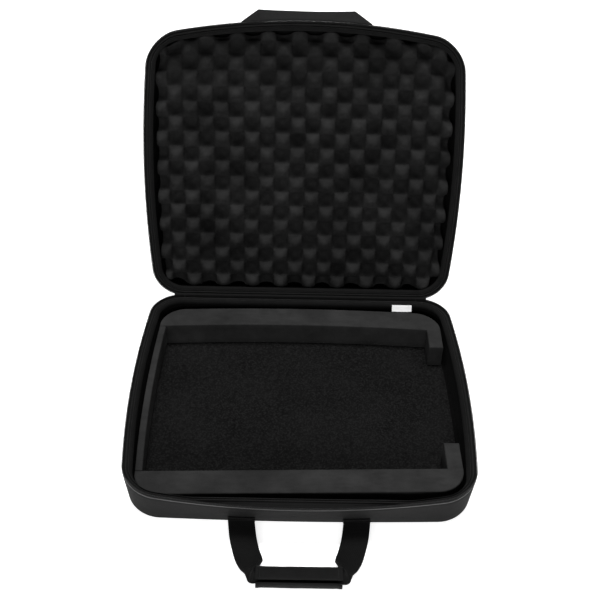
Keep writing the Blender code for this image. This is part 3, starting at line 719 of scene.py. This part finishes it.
def bar_outline(edge, sign, hook_end):
    """The cut shape of a foam bar, from its left end round its outer side, its hook and back."""
    r = FOAM_CORNER
    steps = 12
    outer = []
    for i in range(steps + 1):
        a = math.radians(90 * i / steps)
        x = FOAM_LEFT + r - r * math.cos(a)
        outer.append((x, edge(x, 0) - sign * (r - r * math.sin(a))))
    for i in range(1, 24):
        x = lerp(FOAM_LEFT + r, FOAM_RIGHT - r, i / 24)
        outer.append((x, edge(x, 0)))
    for i in range(steps + 1):
        a = math.radians(90 * i / steps)
        x = FOAM_RIGHT - r + r * math.sin(a)
        outer.append((x, edge(x, 0) - sign * (r - r * math.cos(a))))
    outer += [(FOAM_RIGHT, hook_end), (FOAM_HOOK_X, hook_end)]
    for i in range(25):
        x = lerp(FOAM_HOOK_X, FOAM_LEFT, i / 24)
        outer.append((x, edge(x, FOAM_BAR)))
    return outer


def refine(polygon, step):
    """Points at most a step apart round a polygon."""
    out = []
    for k, p in enumerate(polygon):
        q = polygon[(k + 1) % len(polygon)]
        length = math.dist(p, q)
        parts = max(1, int(length / step))
        out += [(lerp(p[0], q[0], i / parts), lerp(p[1], q[1], i / parts)) for i in range(parts)]
    return np.array(out)


def inset_polygon(points, amount):
    """Moves a polygon's points inwards along their normals."""
    ahead = unit(np.roll(points, -1, 0) - points)
    behind = np.roll(ahead, 1, 0)
    normal = np.column_stack([-(ahead[:, 1] + behind[:, 1]), ahead[:, 0] + behind[:, 0]])
    length = np.linalg.norm(normal, axis=1)[:, None]
    normal /= length
    x, y = points[:, 0], points[:, 1]
    area = np.sum(x * np.roll(y, -1) - y * np.roll(x, -1))
    turn = 1 if area > 0 else -1
    return points + turn * amount * normal * np.minimum(2 / length, 1.5)


def make_bar(name, polygon):
    """A bar cut from thick sheet: soft top edges, and sides that the knife left slightly uneven."""
    points = refine(polygon, 4.0)
    levels = [(FOAM_BOTTOM, 1.0), (FOAM_BOTTOM + 1, 0.1), (18, 0.1), (28, 0.25), (38, 0.1)]
    levels += [(FOAM_TOP - 1.6, 0.0), (FOAM_TOP - 0.7, 0.3), (FOAM_TOP - 0.15, 0.9), (FOAM_TOP, 1.9)]
    rows = []
    for z, amount in levels:
        ring_points = inset_polygon(points, amount)
        rows.append(np.column_stack([ring_points, np.full(len(points), z)]))
    verts = np.array(rows).reshape(-1, 3)
    faces = stack_faces(len(levels), len(points))
    bar = new_object(name, verts, faces, "foam", "base", None, name + "_bar", 55)
    outward(bar)


def make_base_foam():
    make_bar("rear_foam", bar_outline(rear_edge, 1, FOAM_HOOK_END))
    make_bar("front_foam", bar_outline(front_edge, -1, -FOAM_HOOK_END))
    inner, outer = [], []
    top, low = rear_edge(FOAM_LEFT, FOAM_BAR) - 0.4, front_edge(FOAM_LEFT, FOAM_BAR) + 0.6
    for i in range(17):
        t = i / 16
        bow = 5.0 * (1 - (2 * t - 1) ** 2)
        y = lerp(low, top, t)
        inner.append((FOAM_LEFT + FOAM_LEFT_BAR - bow, y))
        outer.append((FOAM_LEFT - bow, y))
    make_bar("left_foam", inner + outer[::-1])


def make_floor_pad():
    """The fleece floor: a thin pad with a soft edge and a faint unevenness."""
    edge = outline("base", FLOOR_TOP, 9.0)
    rings = []
    for inset, drop in ((0.0, 2.9), (0.0, 1.2), (0.6, 0.4), (1.6, 0.05)):
        ring_points = edge * (1 - inset / HALF_DEPTH)
        ring_points[:, 2] = FLOOR_TOP - drop
        rings.append(ring_points)
    steps = 70
    for k in range(1, steps):
        ring_points = edge * lerp(1 - 2.5 / HALF_DEPTH, 0.0, k / steps)
        ring_points[:, 2] = FLOOR_TOP
        rings.append(ring_points)
    points = np.array(rings)
    for row in points[3:]:
        for p in row:
            wide = drift_at(p[0] * 0.02, p[1] * 0.02, 7.0)
            small = drift_at(p[0] * 0.12, p[1] * 0.12, 2.0)
            p[2] += 0.3 * wide + 0.2 * small
    verts = points.reshape(-1, 3)
    faces = stack_faces(len(rings), LOOP)
    name, replaced = "floor_fleece_pad", "base_floor_pad"
    pad = new_object(name, verts, faces, "floor", "base", None, replaced)
    outward(pad)


CRATE_HALF_WIDTH = 227.0
CRATE_REAR = 198.5
CRATE_FRONT = -196.0
CRATE_PITCH = 47.5
CRATE_SHIFT = 13.7
CRATE_BACK = 53.2
CRATE_THICK = 36.0
CRATE_MEAN = CRATE_BACK - CRATE_THICK + 11.0
CRATE_WAVE = 12.4
CRATE_CORNER = 36.0


def crate_height(x, y):
    """How far the sheet stands towards the inside: round peaks, and hollows with a flatter floor."""
    c = np.cos(2 * np.pi * (x - CRATE_SHIFT) / CRATE_PITCH) * np.cos(2 * np.pi * y / CRATE_PITCH)
    return CRATE_WAVE * (c + 0.16 * (1 - c**2) * np.sign(c) + 0.03)


def make_eggcrate():
    """The foam sheet in the lid: a fine grid with drifted waves, its border tucked down to a flat back."""
    columns, rows = 292, 256
    corner = CRATE_CORNER
    verts = []
    for j in range(rows + 1):
        v = lerp(CRATE_REAR, CRATE_FRONT, j / rows)
        into = max(0.0, v - (CRATE_REAR - corner), (CRATE_FRONT + corner) - v)
        reach = CRATE_HALF_WIDTH - corner + math.sqrt(max(0.0, corner**2 - into**2))
        u = np.linspace(-reach, reach, columns + 1)
        x = u * (1 + 4.0 / CRATE_HALF_WIDTH * (1 - (v / CRATE_FRONT) ** 2))
        y = np.full(columns + 1, v)
        if v < 0:
            y = v * (1 - 20.0 / CRATE_FRONT * (1 - (u / CRATE_HALF_WIDTH) ** 2))
        drift = np.array([drift_at(a * 0.013, b * 0.013, 5.0) for a, b in zip(x, y)])
        small = np.array([drift_at(a * 0.35, b * 0.35, 9.0) for a, b in zip(x, y)])
        h = crate_height(x + 2.2 * drift, y - 1.6 * drift) + 1.1 * drift + 0.28 * small
        near = np.maximum(np.abs(u) / reach, abs(2 * j / rows - 1))
        tuck = smooth_step((near - 0.86) / 0.14) * np.clip((12 - h) / 24, 0, 1)
        z = CRATE_MEAN + BASE_HEIGHT - h
        verts.append(np.column_stack([x * (1 - 0.014 * tuck), y * (1 - 0.04 * tuck), z]))
    top = np.array(verts)
    flat = top.reshape(-1, 3)
    border = border_of(rows + 1, columns + 1)
    levels = [flat]
    for amount, z in ((0.004, None), (0.02, CRATE_BACK - 8), (0.04, CRATE_BACK)):
        loop = flat[border].copy()
        loop[:, :2] *= 1 - amount
        loop[:, 2] = loop[:, 2] + 2.5 if z is None else z + BASE_HEIGHT
        levels.append(loop)
    verts = np.vstack(levels)
    faces = grid_faces(rows + 1, columns + 1, False, False)
    previous = border
    first = len(flat)
    for _ in range(3):
        here = list(range(first, first + len(border)))
        for n in range(len(border)):
            m = (n + 1) % len(border)
            faces.append((previous[n], previous[m], here[m], here[n]))
        previous = here
        first += len(border)
    faces.append(tuple(previous))
    name, replaced = "eggcrate_sheet", "lid_eggcrate_foam"
    sheet = new_object(name, opened(verts), faces, "crate", "lid", None, replaced)
    outward(sheet)


# ---------------------------------------------------------------- handles


SPACING = 77.0
WEB_WIDTH = 36.0
WEB_THICK = 2.6
ANCHOR_HEIGHT = {"base": 15.0, "lid": LID_HEIGHT - 22.0}
ANCHOR_RISE = 7.0


def wall_y(half, x, height):
    t = height / HEIGHTS[half]
    a = HALF_WIDTH - SIDE_DRAFT * (1 - t)
    return -(HALF_DEPTH + lerp(*FRONT_BOW, t) * (1 - (x / a) ** 2))


def smooth_path(stations, steps):
    """Catmull-Rom values between rows of numbers."""
    rows = np.array([stations[0], *stations, stations[-1]], float)
    out = []
    for p0, p1, p2, p3 in zip(rows, rows[1:], rows[2:], rows[3:]):
        for i in range(steps):
            t = i / steps
            square = (2 * p0 - 5 * p1 + 4 * p2 - p3) * t**2
            cube = (3 * p1 - p0 - 3 * p2 + p3) * t**3
            out.append(0.5 * (2 * p1 + (p2 - p0) * t + square + cube))
    out.append(rows[-1])
    return np.array(out)


def webbing(name, stations, body, replaces=None):
    """A woven strap. A station is its centre, the direction across it, its width and its thickness."""
    centre, across = stations[:, :3], unit(stations[:, 3:6])
    width, thickness = stations[:, 6], stations[:, 7]
    up = unit(np.cross(across, unit(np.gradient(centre, axis=0))))
    section = []
    for i in range(11):
        w = lerp(-1, 1, i / 10)
        section.append((w, 0.5 * (1 - 0.35 * w**8)))
    section += [(w, -h) for w, h in reversed(section)]
    section = np.array(section)
    rings = []
    for w, h in section:
        rings.append(centre + across * (w * width / 2)[:, None] + up * (h * thickness)[:, None])
    points = np.array(rings).transpose(1, 0, 2)
    along = arc_lengths(centre, False)
    uv = np.array([[(s, w * WEB_WIDTH / 2) for w, _ in section] for s in along]).reshape(-1, 2)
    faces = stack_faces(len(centre), len(section))
    verts = points.reshape(-1, 3)
    outward(new_object(name, verts, faces, "webbing", body, uv, replaces, 50))


def make_anchor(half, side, name):
    """The strap's sewn end: a folded patch on the wall with a stitched box and one diagonal."""
    nx, ny = 12, 6
    x, height = side * SPACING, ANCHOR_HEIGHT[half]
    front, back = [], []
    for j in range(ny + 1):
        for i in range(nx + 1):
            u, v = lerp(-1, 1, i / nx), lerp(-1, 1, j / ny)
            px, h = x + u * WEB_WIDTH / 2, height + v * ANCHOR_RISE
            y = wall_y(half, px, h)
            z = h if half == "base" else BASE_HEIGHT + LID_HEIGHT - h
            edge = max(abs(u) ** 6, abs(v) ** 6)
            front.append((px, y - 0.6 - 2.2 * (1 - 0.45 * edge), z))
            back.append((px, y - 0.35, z))
    verts = place(half, np.array(front + back))
    faces = sheet_faces(ny + 1, nx + 1)
    uv = [(p[0], p[2]) for p in front + back]
    patch, replaced = f"{half}_anchor_patch_{name}", f"{half}_anchor_{name}"
    outward(new_object(patch, verts, faces, "webbing", half, uv, replaced, 60))
    box = [(-15, -5), (15, -5), (15, 5), (-15, 5), (-15, -5)]
    lines = [*zip(box, box[1:]), ((-15, -5), (15, 5))]
    parts = []
    for (x0, h0), (x1, h1) in lines:
        row = []
        for i in range(12):
            px, h = x + lerp(x0, x1, i / 11), height + lerp(h0, h1, i / 11)
            z = h if half == "base" else BASE_HEIGHT + LID_HEIGHT - h
            row.append((px, wall_y(half, px, h) - 2.75, z))
        parts.append(stitches(row, (0, -1.0, 0)))
    verts, faces = join(parts)
    new_object(patch + "_stitches", place(half, verts), faces, "thread", half)


GRIP_Y, GRIP_Z = -306.0, 14.2
GRIP_HALF = 52.5
GRIP_RADIUS = 13.4
GRIP_WALL = 2.4
SLIT_START, SLIT = 160.0, 20.0


def round_grip(angle, radius):
    """The y and z of a point round the grip's axis."""
    turn = math.radians(angle)
    return GRIP_Y + radius * math.cos(turn), GRIP_Z + radius * math.sin(turn)


def sleeve(name, profile, xs, look, replaces, swell=0.0):
    """Bends a band round the grip's axis. The profile holds (angle, inner radius, outer radius)."""
    rows = []
    for x in xs:
        t = 1 - (2 * (x - xs[0]) / (xs[-1] - xs[0]) - 1) ** 2
        rough = [0.35 * drift_at(x * 0.07, a * 0.02, 6.0) for a, _, _ in profile]
        outer = [(a, r1 + swell * t + bump) for (a, _, r1), bump in zip(profile, rough)]
        inner = [(a, r0) for a, r0, _ in reversed(profile)]
        rows.append([(x, *round_grip(a, r)) for a, r in outer + inner])
    around = [a * math.radians(GRIP_RADIUS) for a, _, _ in profile + profile[::-1]]
    uv = np.array([[(x, v) for v in around] for x in xs]).reshape(-1, 2)
    faces = stack_faces(len(xs), len(around))
    verts = np.array(rows).reshape(-1, 3)
    outward(new_object(name, verts, faces, look, "base_handle", uv, replaces, 50))


def make_grip():
    """The padded wrap closed round the strap, its end bindings, and the strips that hold it."""
    inner = GRIP_RADIUS - GRIP_WALL
    end = SLIT_START + 360 - SLIT
    band = []
    for i in range(73):
        a = lerp(SLIT_START, end, i / 72)
        near = min(a - SLIT_START, end - a)
        lip = smooth_step(near / 7.0)
        ridge = 0.35 * math.exp(-((near - 9) / 5) ** 2)
        outer = inner + 0.9 + (GRIP_WALL - 0.9) * float(lip) - ridge
        band.append((a, inner + 0.15, min(outer, GRIP_RADIUS - 0.1)))
    middle = np.linspace(2 - GRIP_HALF, GRIP_HALF - 2, 28)
    xs = np.concatenate([[-GRIP_HALF, 0.6 - GRIP_HALF], middle, [GRIP_HALF - 0.6, GRIP_HALF]])
    sleeve("grip_wrap_cloth", band, xs, "wrap", "grip_wrap", 0.1)
    for side, name in SIDES:
        start = side * (GRIP_HALF + 0.3)
        low, high = sorted((start - side * 2.0, start + side * 2.2))
        trim = [(a, max(inner + 0.1, r1 - 2.6), r1 + 0.45) for a, _, r1 in band]
        ends = [lerp(low, high, i / 4) for i in range(5)]
        look, replaced = "binding", "grip_end_trim_" + name
        sleeve("grip_end_binding_" + name, trim, ends, look, replaced, 0.05)
        line = [(side * (GRIP_HALF - 3.0), *round_grip(a, GRIP_RADIUS - 0.05)) for a, _, _ in band[3:-3]]
        parts = []
        for p, q in zip(line, line[1:]):
            middle = (np.array(p) + np.array(q)) / 2
            out = middle - np.array((middle[0], GRIP_Y, GRIP_Z))
            out /= np.linalg.norm(out)
            thread = np.array([p, middle, q])
            lift = np.array([-0.15, 0.22, -0.15])[:, None] * out
            parts.append(tube(lerp(thread, thread.mean(0), 0.15) + lift, 0.25, 5, (1, 0.1, 0)))
        verts, faces = join(parts)
        new_object("grip_stitches_" + name, verts, faces, "thread", "base_handle")
    strip = inner - 0.6
    reach = np.linspace(6 - GRIP_HALF, GRIP_HALF - 6, 12)
    for kind, start in (("loop", SLIT_START + 8), ("hook", SLIT_START - SLIT - 78)):
        arc = [(lerp(start, start + 70, i / 16), strip - 1.2, strip) for i in range(17)]
        sleeve(f"wrap_{kind}_strip", arc, reach, "loop", f"grip_{kind}_strip")


def make_base_handle():
    """One strap, from patch to patch, pinched and turned on edge where it goes into the grip."""
    for side, name in SIDES:
        make_anchor("base", side, name)
    height = ANCHOR_HEIGHT["base"]
    root_y = wall_y("base", SPACING, height) - 0.9 - 2.2 - WEB_THICK
    reach, drop, root = GRIP_Y - root_y, GRIP_Z - height, -SPACING
    leg = [
        (root, 2.1, 3.5, 1, 0, 0, 36, 2.6),
        (root, 0, 0, 1, 0, 0, 36, 2.6),
        (root + 3, reach * 0.25, -5, 1, 0.02, 0, 36, 2.6),
        (root + 7.5, reach * 0.45, -10, 1, 0.08, 0.03, 35.5, 2.6),
        (root + 11.5, reach * 0.60, -9.5, 1, 0.18, 0.08, 35, 2.8),
        (root + 15.5, reach * 0.73, -6.5, 1, 0.40, 0.1, 32, 3.4),
        (root + 18, reach * 0.81, -3.5, 1, 0.7, 0.2, 27, 4.8),
        (root + 18, reach * 0.92, -1, 0.8, 0.85, 0.45, 21, 6.4),
        (root + 19, reach, drop, 0.2, 0.5, 0.85, 17, 7.0),
        (8 - GRIP_HALF, reach, drop, 0, -0.1, 0.95, 15, 6.0),
    ]
    left = smooth_path(leg, 10)
    right = left[::-1].copy()
    right[:, 0] *= -1
    right[:, 3] *= -1
    stations = np.vstack([left, right])
    stations[:, :3] += (0, root_y, height)
    webbing("base_handle_strap", stations, "base_handle", "base_handle_webbing")


BAND_NEAR = 4.5
BAND_TILT = math.radians(18.0)
BAND_ENDS = (97.0, 73.0)


def make_lid_handle():
    """A flattened strap just behind the rim: a band with slanted ends, on two short legs."""
    for side, name in SIDES:
        make_anchor("lid", side, name)

    def under(x):
        return wall_y("lid", x, LID_HEIGHT - BAND_NEAR) + 0.6

    columns, rows = 60, 14
    top, bottom, uv = [], [], []
    for j in range(rows + 1):
        t = j / rows
        half = lerp(*BAND_ENDS, t)
        for i in range(columns + 1):
            u = lerp(-1, 1, i / columns)
            edge = max(abs(2 * t - 1) ** 8, abs(u) ** 30)
            sag = 4.2 * (1 - u * u) - 1.6 + 0.4 * drift_at(u * 2.2, t * 1.5, 4.0)
            y = under(u * half) - t * WEB_WIDTH * math.sin(BAND_TILT) + sag * t
            z = BASE_HEIGHT + BAND_NEAR + t * WEB_WIDTH * math.cos(BAND_TILT)
            thick = WEB_THICK * (1 - 0.3 * edge)
            bottom.append((u * half, y, z))
            top.append((u * half, y - thick, z))
            uv.append((u * half, t * WEB_WIDTH))
    faces = sheet_faces(rows + 1, columns + 1)
    name, rides = "lid_handle_band", "lid_handle"
    verts, uv = opened(top + bottom), uv + uv
    outward(new_object(name, verts, faces, "webbing", rides, uv, rides + "_webbing", 50))
    height = ANCHOR_HEIGHT["lid"]
    leg_z = BASE_HEIGHT + LID_HEIGHT - height
    root_y = wall_y("lid", SPACING, height) - 0.9 - 2.2
    behind = (LID_HEIGHT - height - BAND_NEAR) * math.tan(BAND_TILT)
    meet = under(SPACING - 6) - behind - WEB_THICK / 2
    for side, name in SIDES:
        x = side * (SPACING - 6)
        stations = [
            (x, root_y - 2.6, leg_z, 1, 0, 0, 26, WEB_THICK),
            (x, lerp(root_y, meet, 0.4), leg_z + 0.8, 1, 0, 0, 26, WEB_THICK),
            (x - side * 0.5, lerp(root_y, meet, 0.75), leg_z + 0.6, 1, 0, 0, 26, WEB_THICK),
            (x - side * 1.0, meet, leg_z, 1, 0, 0, 25, WEB_THICK),
        ]
        path = smooth_path(stations, 6)
        path[:, :3] = opened(path[:, :3])
        webbing("lid_handle_leg_" + name, path, "lid_handle")


# ---------------------------------------------------------------- zip ends and label


def bevel_box(low, high, radius, segments=2):
    """Points and faces of a box with rounded edges."""
    shape = bmesh.new()
    bmesh.ops.create_cube(shape, size=1.0)
    low, high = Vector(low), Vector(high)
    size, middle = high - low, (low + high) / 2
    for v in shape.verts:
        v.co = Vector((v.co.x * size.x, v.co.y * size.y, v.co.z * size.z)) + middle
    edges = shape.edges[:]
    bmesh.ops.bevel(shape, geom=edges, offset=radius, segments=segments, affect="EDGES", profile=0.5)
    shape.verts.index_update()
    found = [tuple(v.co) for v in shape.verts], [tuple(v.index for v in f.verts) for f in shape.faces]
    shape.free()
    return found


ZIP_TAIL_X = 178.0
SLIDER_Z = 42.0


def make_zip_end(side, name):
    """The chain's closed tail behind the case, with its slider and pull."""
    x = side * ZIP_TAIL_X
    wall = HALF_DEPTH + 0.3
    tape_low, tape_high = wall + 1.9, wall + 2.7
    strip = bevel_box((x - 4.5, tape_low, 16), (x + 4.5, tape_high, 52.5), 0.3)
    tack = bevel_box((x - 4.5, wall, 49.5), (x + 4.5, tape_low + 0.3, 52.5), 0.4)
    foot = bevel_box((x - 4.5, wall, 16), (x + 4.5, tape_low + 0.3, 19), 0.4)
    verts, faces = join([strip, tack, foot])
    uv = [(v[0], v[2]) for v in verts]
    new_object("zip_tail_tape_" + name, verts, faces, "tape", "base", uv, "zip_tail_" + name, 50)
    parts = []
    z = 18.5
    while z < 50:
        for sign in (-1, 1):
            low = (x + sign * 0.25, tape_high - 0.1, z + (0.95 if sign > 0 else 0))
            high = (x + sign * 2.4, tape_high + 1.05, z + 0.8 + (0.95 if sign > 0 else 0))
            box = [tuple(sorted((a, b))) for a, b in zip(low, high)]
            parts.append(bevel_box([b[0] for b in box], [b[1] for b in box], 0.3, 1))
        z += 1.9
    verts, faces = join(parts)
    new_object("zip_tail_chain_" + name, verts, faces, "coil", "base", sharp=50)

    slider_z = SLIDER_Z
    outer = tape_high + 1.1 + 0.3 + 1.2
    parts = [
        bevel_box((x - 6, outer - 1.2, slider_z - 5), (x + 6, outer, slider_z + 5), 0.5),
        bevel_box((x - 6, wall + 0.3, slider_z - 5), (x + 6, tape_low - 0.3, slider_z + 5), 0.4),
        bevel_box((x - 6, wall + 0.4, slider_z - 5), (x - 4.8, outer - 0.1, slider_z + 5), 0.4),
        bevel_box((x + 4.8, wall + 0.4, slider_z - 5), (x + 6, outer - 0.1, slider_z + 5), 0.4),
        bevel_box((x - 3.8, outer - 0.3, slider_z - 1.1), (x - 2.6, outer + 3.5, slider_z + 1.1), 0.4),
        bevel_box((x + 2.6, outer - 0.3, slider_z - 1.1), (x + 3.8, outer + 3.5, slider_z + 1.1), 0.4),
    ]
    bar_y = outer + 2.5
    parts.append(tube([(x + end, bar_y, slider_z) for end in (-3.2, 0, 3.2)], 0.6, 10))
    verts, faces = join(parts)
    metal = "metal"
    rides, replaced = "slider_" + name, "zip_slider_" + name
    new_object("slider_body_" + name, verts, faces, metal, rides, None, replaced, 40)

    angles = np.linspace(0, 2 * math.pi, 24, endpoint=False)
    rings = []
    for r, end in ((0.95, -1.9), (0.95, 1.9), (1.7, 1.9), (1.9, 1.6), (1.9, -1.6), (1.7, -1.9)):
        rings.append([(x + end, bar_y + r * math.cos(a), slider_z + r * math.sin(a)) for a in angles])
    eye = np.array(rings).reshape(-1, 3), grid_faces(len(rings), len(angles), True, True)
    edge = [(1.7, -1.5), (2.6, -4.0), (3.5, -7), (3.5, -21), (2.6, -23.2), (0.8, -24)]
    mirrored = [(-bx, bz) for bx, bz in reversed(edge)]
    blade = refine([mirrored[-1], *edge, *mirrored[:-1]], 1.2)
    rows = []
    for y, shrink in ((-0.7, 0.35), (-0.4, 0.0), (0.4, 0.0), (0.7, 0.35)):
        loop = inset_polygon(blade, shrink)
        rows.append([(x + bx, bar_y + y, slider_z + bz) for bx, bz in loop])
    count = len(blade)
    body = np.array(rows).reshape(-1, 3), stack_faces(len(rows), count)
    dimple = inset_polygon(blade, 1.3)
    dimple = dimple[dimple[:, 1] < -6.5]
    rows = [[(x + bx, bar_y + y, slider_z + bz) for bx, bz in dimple] for y in (0.68, 0.86)]
    count = len(dimple)
    plate = np.array(rows).reshape(-1, 3), stack_faces(len(rows), count)
    verts, faces = join([eye, body, plate])
    rides, replaced = "pull_" + name, "zip_pull_" + name
    outward(new_object("pull_tab_" + name, verts, faces, metal, rides, None, replaced, 35))

    low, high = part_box("zip_stop_" + name)
    verts, faces = bevel_box(low / MM, high / MM, 0.7, 3)
    new_object("stop_clip_" + name, verts, faces, metal, "base", None, "zip_stop_" + name, 50)


def make_label():
    """The blank label, sewn in at its upper edge and curling away from it."""
    low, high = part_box("woven_label")
    low, high = low / MM, high / MM
    nx, nz = 30, 10
    front, uv = [], []
    for j in range(nz + 1):
        for i in range(nx + 1):
            u, v = i / nx, j / nz
            curl = 0.5 * math.sin(math.pi * u) * (1 - v) + 0.25 * drift_at(u * 3, v * 2, 1.0)
            y = low.y - 0.1 - curl - 4.5 * (1 - v)
            front.append((lerp(low.x, high.x, u), y, lerp(low.z, high.z, v)))
            uv.append((u * 32, v * 9.5))
    back = [(px, py + 0.45, pz) for px, py, pz in front]
    faces = sheet_faces(nz + 1, nx + 1)
    name, verts, uv = "woven_label", front + back, uv + uv
    outward(new_object("blank_label", verts, faces, "label", "base", uv, name, 50))


# ---------------------------------------------------------------- stage


def make_floor():
    """A plain white floor."""
    floor = bpy.data.meshes.new("floor")
    reach = 30.0
    corners = [(-reach, -reach, 0), (reach, -reach, 0), (reach, reach, 0), (-reach, reach, 0)]
    floor.from_pydata(corners, [], [(0, 1, 2, 3)])
    obj = bpy.data.objects.new("floor", floor)
    bpy.context.scene.collection.objects.link(obj)
    n = Nodes("floor_paper")
    n.set(Base_Color=grey(0.93), Roughness=0.9, Emission_Color=grey(1), Emission_Strength=0.75)
    floor.materials.append(n.material)


def make_world():
    """Soft light all round. The camera sees a brighter backdrop than the one that lights the case."""
    world = bpy.data.worlds.new("studio")
    bpy.context.scene.world = world
    world.use_nodes = True
    nodes, links = world.node_tree.nodes, world.node_tree.links
    soft = nodes["Background"]
    soft.inputs["Color"].default_value = (1, 1, 1, 1)
    soft.inputs["Strength"].default_value = 0.11
    seen = nodes.new("ShaderNodeBackground")
    seen.inputs["Color"].default_value = (0.93, 0.93, 0.93, 1)
    mix = nodes.new("ShaderNodeMixShader")
    links.new(nodes.new("ShaderNodeLightPath").outputs["Is Camera Ray"], mix.inputs[0])
    links.new(soft.outputs[0], mix.inputs[1])
    links.new(seen.outputs[0], mix.inputs[2])
    links.new(mix.outputs[0], nodes["World Output"].inputs["Surface"])


def make_lights():
    """Three soft lights: from above, from the front and from behind."""

    def area(name, at, target, size, power):
        light = bpy.data.lights.new(name, "AREA")
        light.shape = "RECTANGLE"
        light.size, light.size_y = size
        light.energy = power
        lamp = bpy.data.objects.new(name, light)
        lamp.location = at
        lamp.rotation_euler = (Vector(target) - Vector(at)).to_track_quat("-Z", "Y").to_euler()
        bpy.context.scene.collection.objects.link(lamp)

    area("overhead", (0.0, 0.34, 1.95), (0, 0.1, 0.1), (1.4, 0.5), 46)
    area("front_key", (-0.3, -2.45, 1.15), (0, 0, 0.1), (1.8, 0.6), 38)
    area("back_fill", (0.4, 2.6, 1.5), (0, 0.2, 0.2), (1.8, 1.0), 16)


def make_camera():
    """The photograph's view, looking down at the open case from the front."""
    pitch, yaw, roll = math.radians(39.0), math.radians(-0.91), math.radians(-1.65)
    ahead = Vector((0, math.cos(pitch), -math.sin(pitch)))
    right = Vector((1, 0, 0))
    down = ahead.cross(right)
    spin = Matrix.Rotation(yaw, 3, "Z")
    ahead, right, down = spin @ ahead, spin @ right, spin @ down
    across = math.cos(roll) * right + math.sin(roll) * down
    below = math.cos(roll) * down - math.sin(roll) * right
    turn = Matrix((across, -below, -ahead)).transposed().to_4x4()
    camera = bpy.data.cameras.new("camera")
    camera.lens = 59.4
    camera.sensor_width = 36.0
    camera.clip_end = 100.0
    view = bpy.data.objects.new("camera", camera)
    view.matrix_world = Matrix.Translation((-0.0207, -1.0600, 1.0775)) @ turn
    bpy.context.scene.collection.objects.link(view)
    bpy.context.scene.camera = view
    bpy.context.scene.view_settings.view_transform = "Standard"


def main():
    for half in ("base", "lid"):
        make_shell(half)
        make_rim(half)
        make_lining(half)
    make_hinge()
    make_base_foam()
    make_floor_pad()
    make_eggcrate()
    make_base_handle()
    make_grip()
    make_lid_handle()
    for side, name in SIDES:
        make_zip_end(side, name)
    make_label()
    make_floor()
    make_world()
    make_lights()
    make_camera()


main()
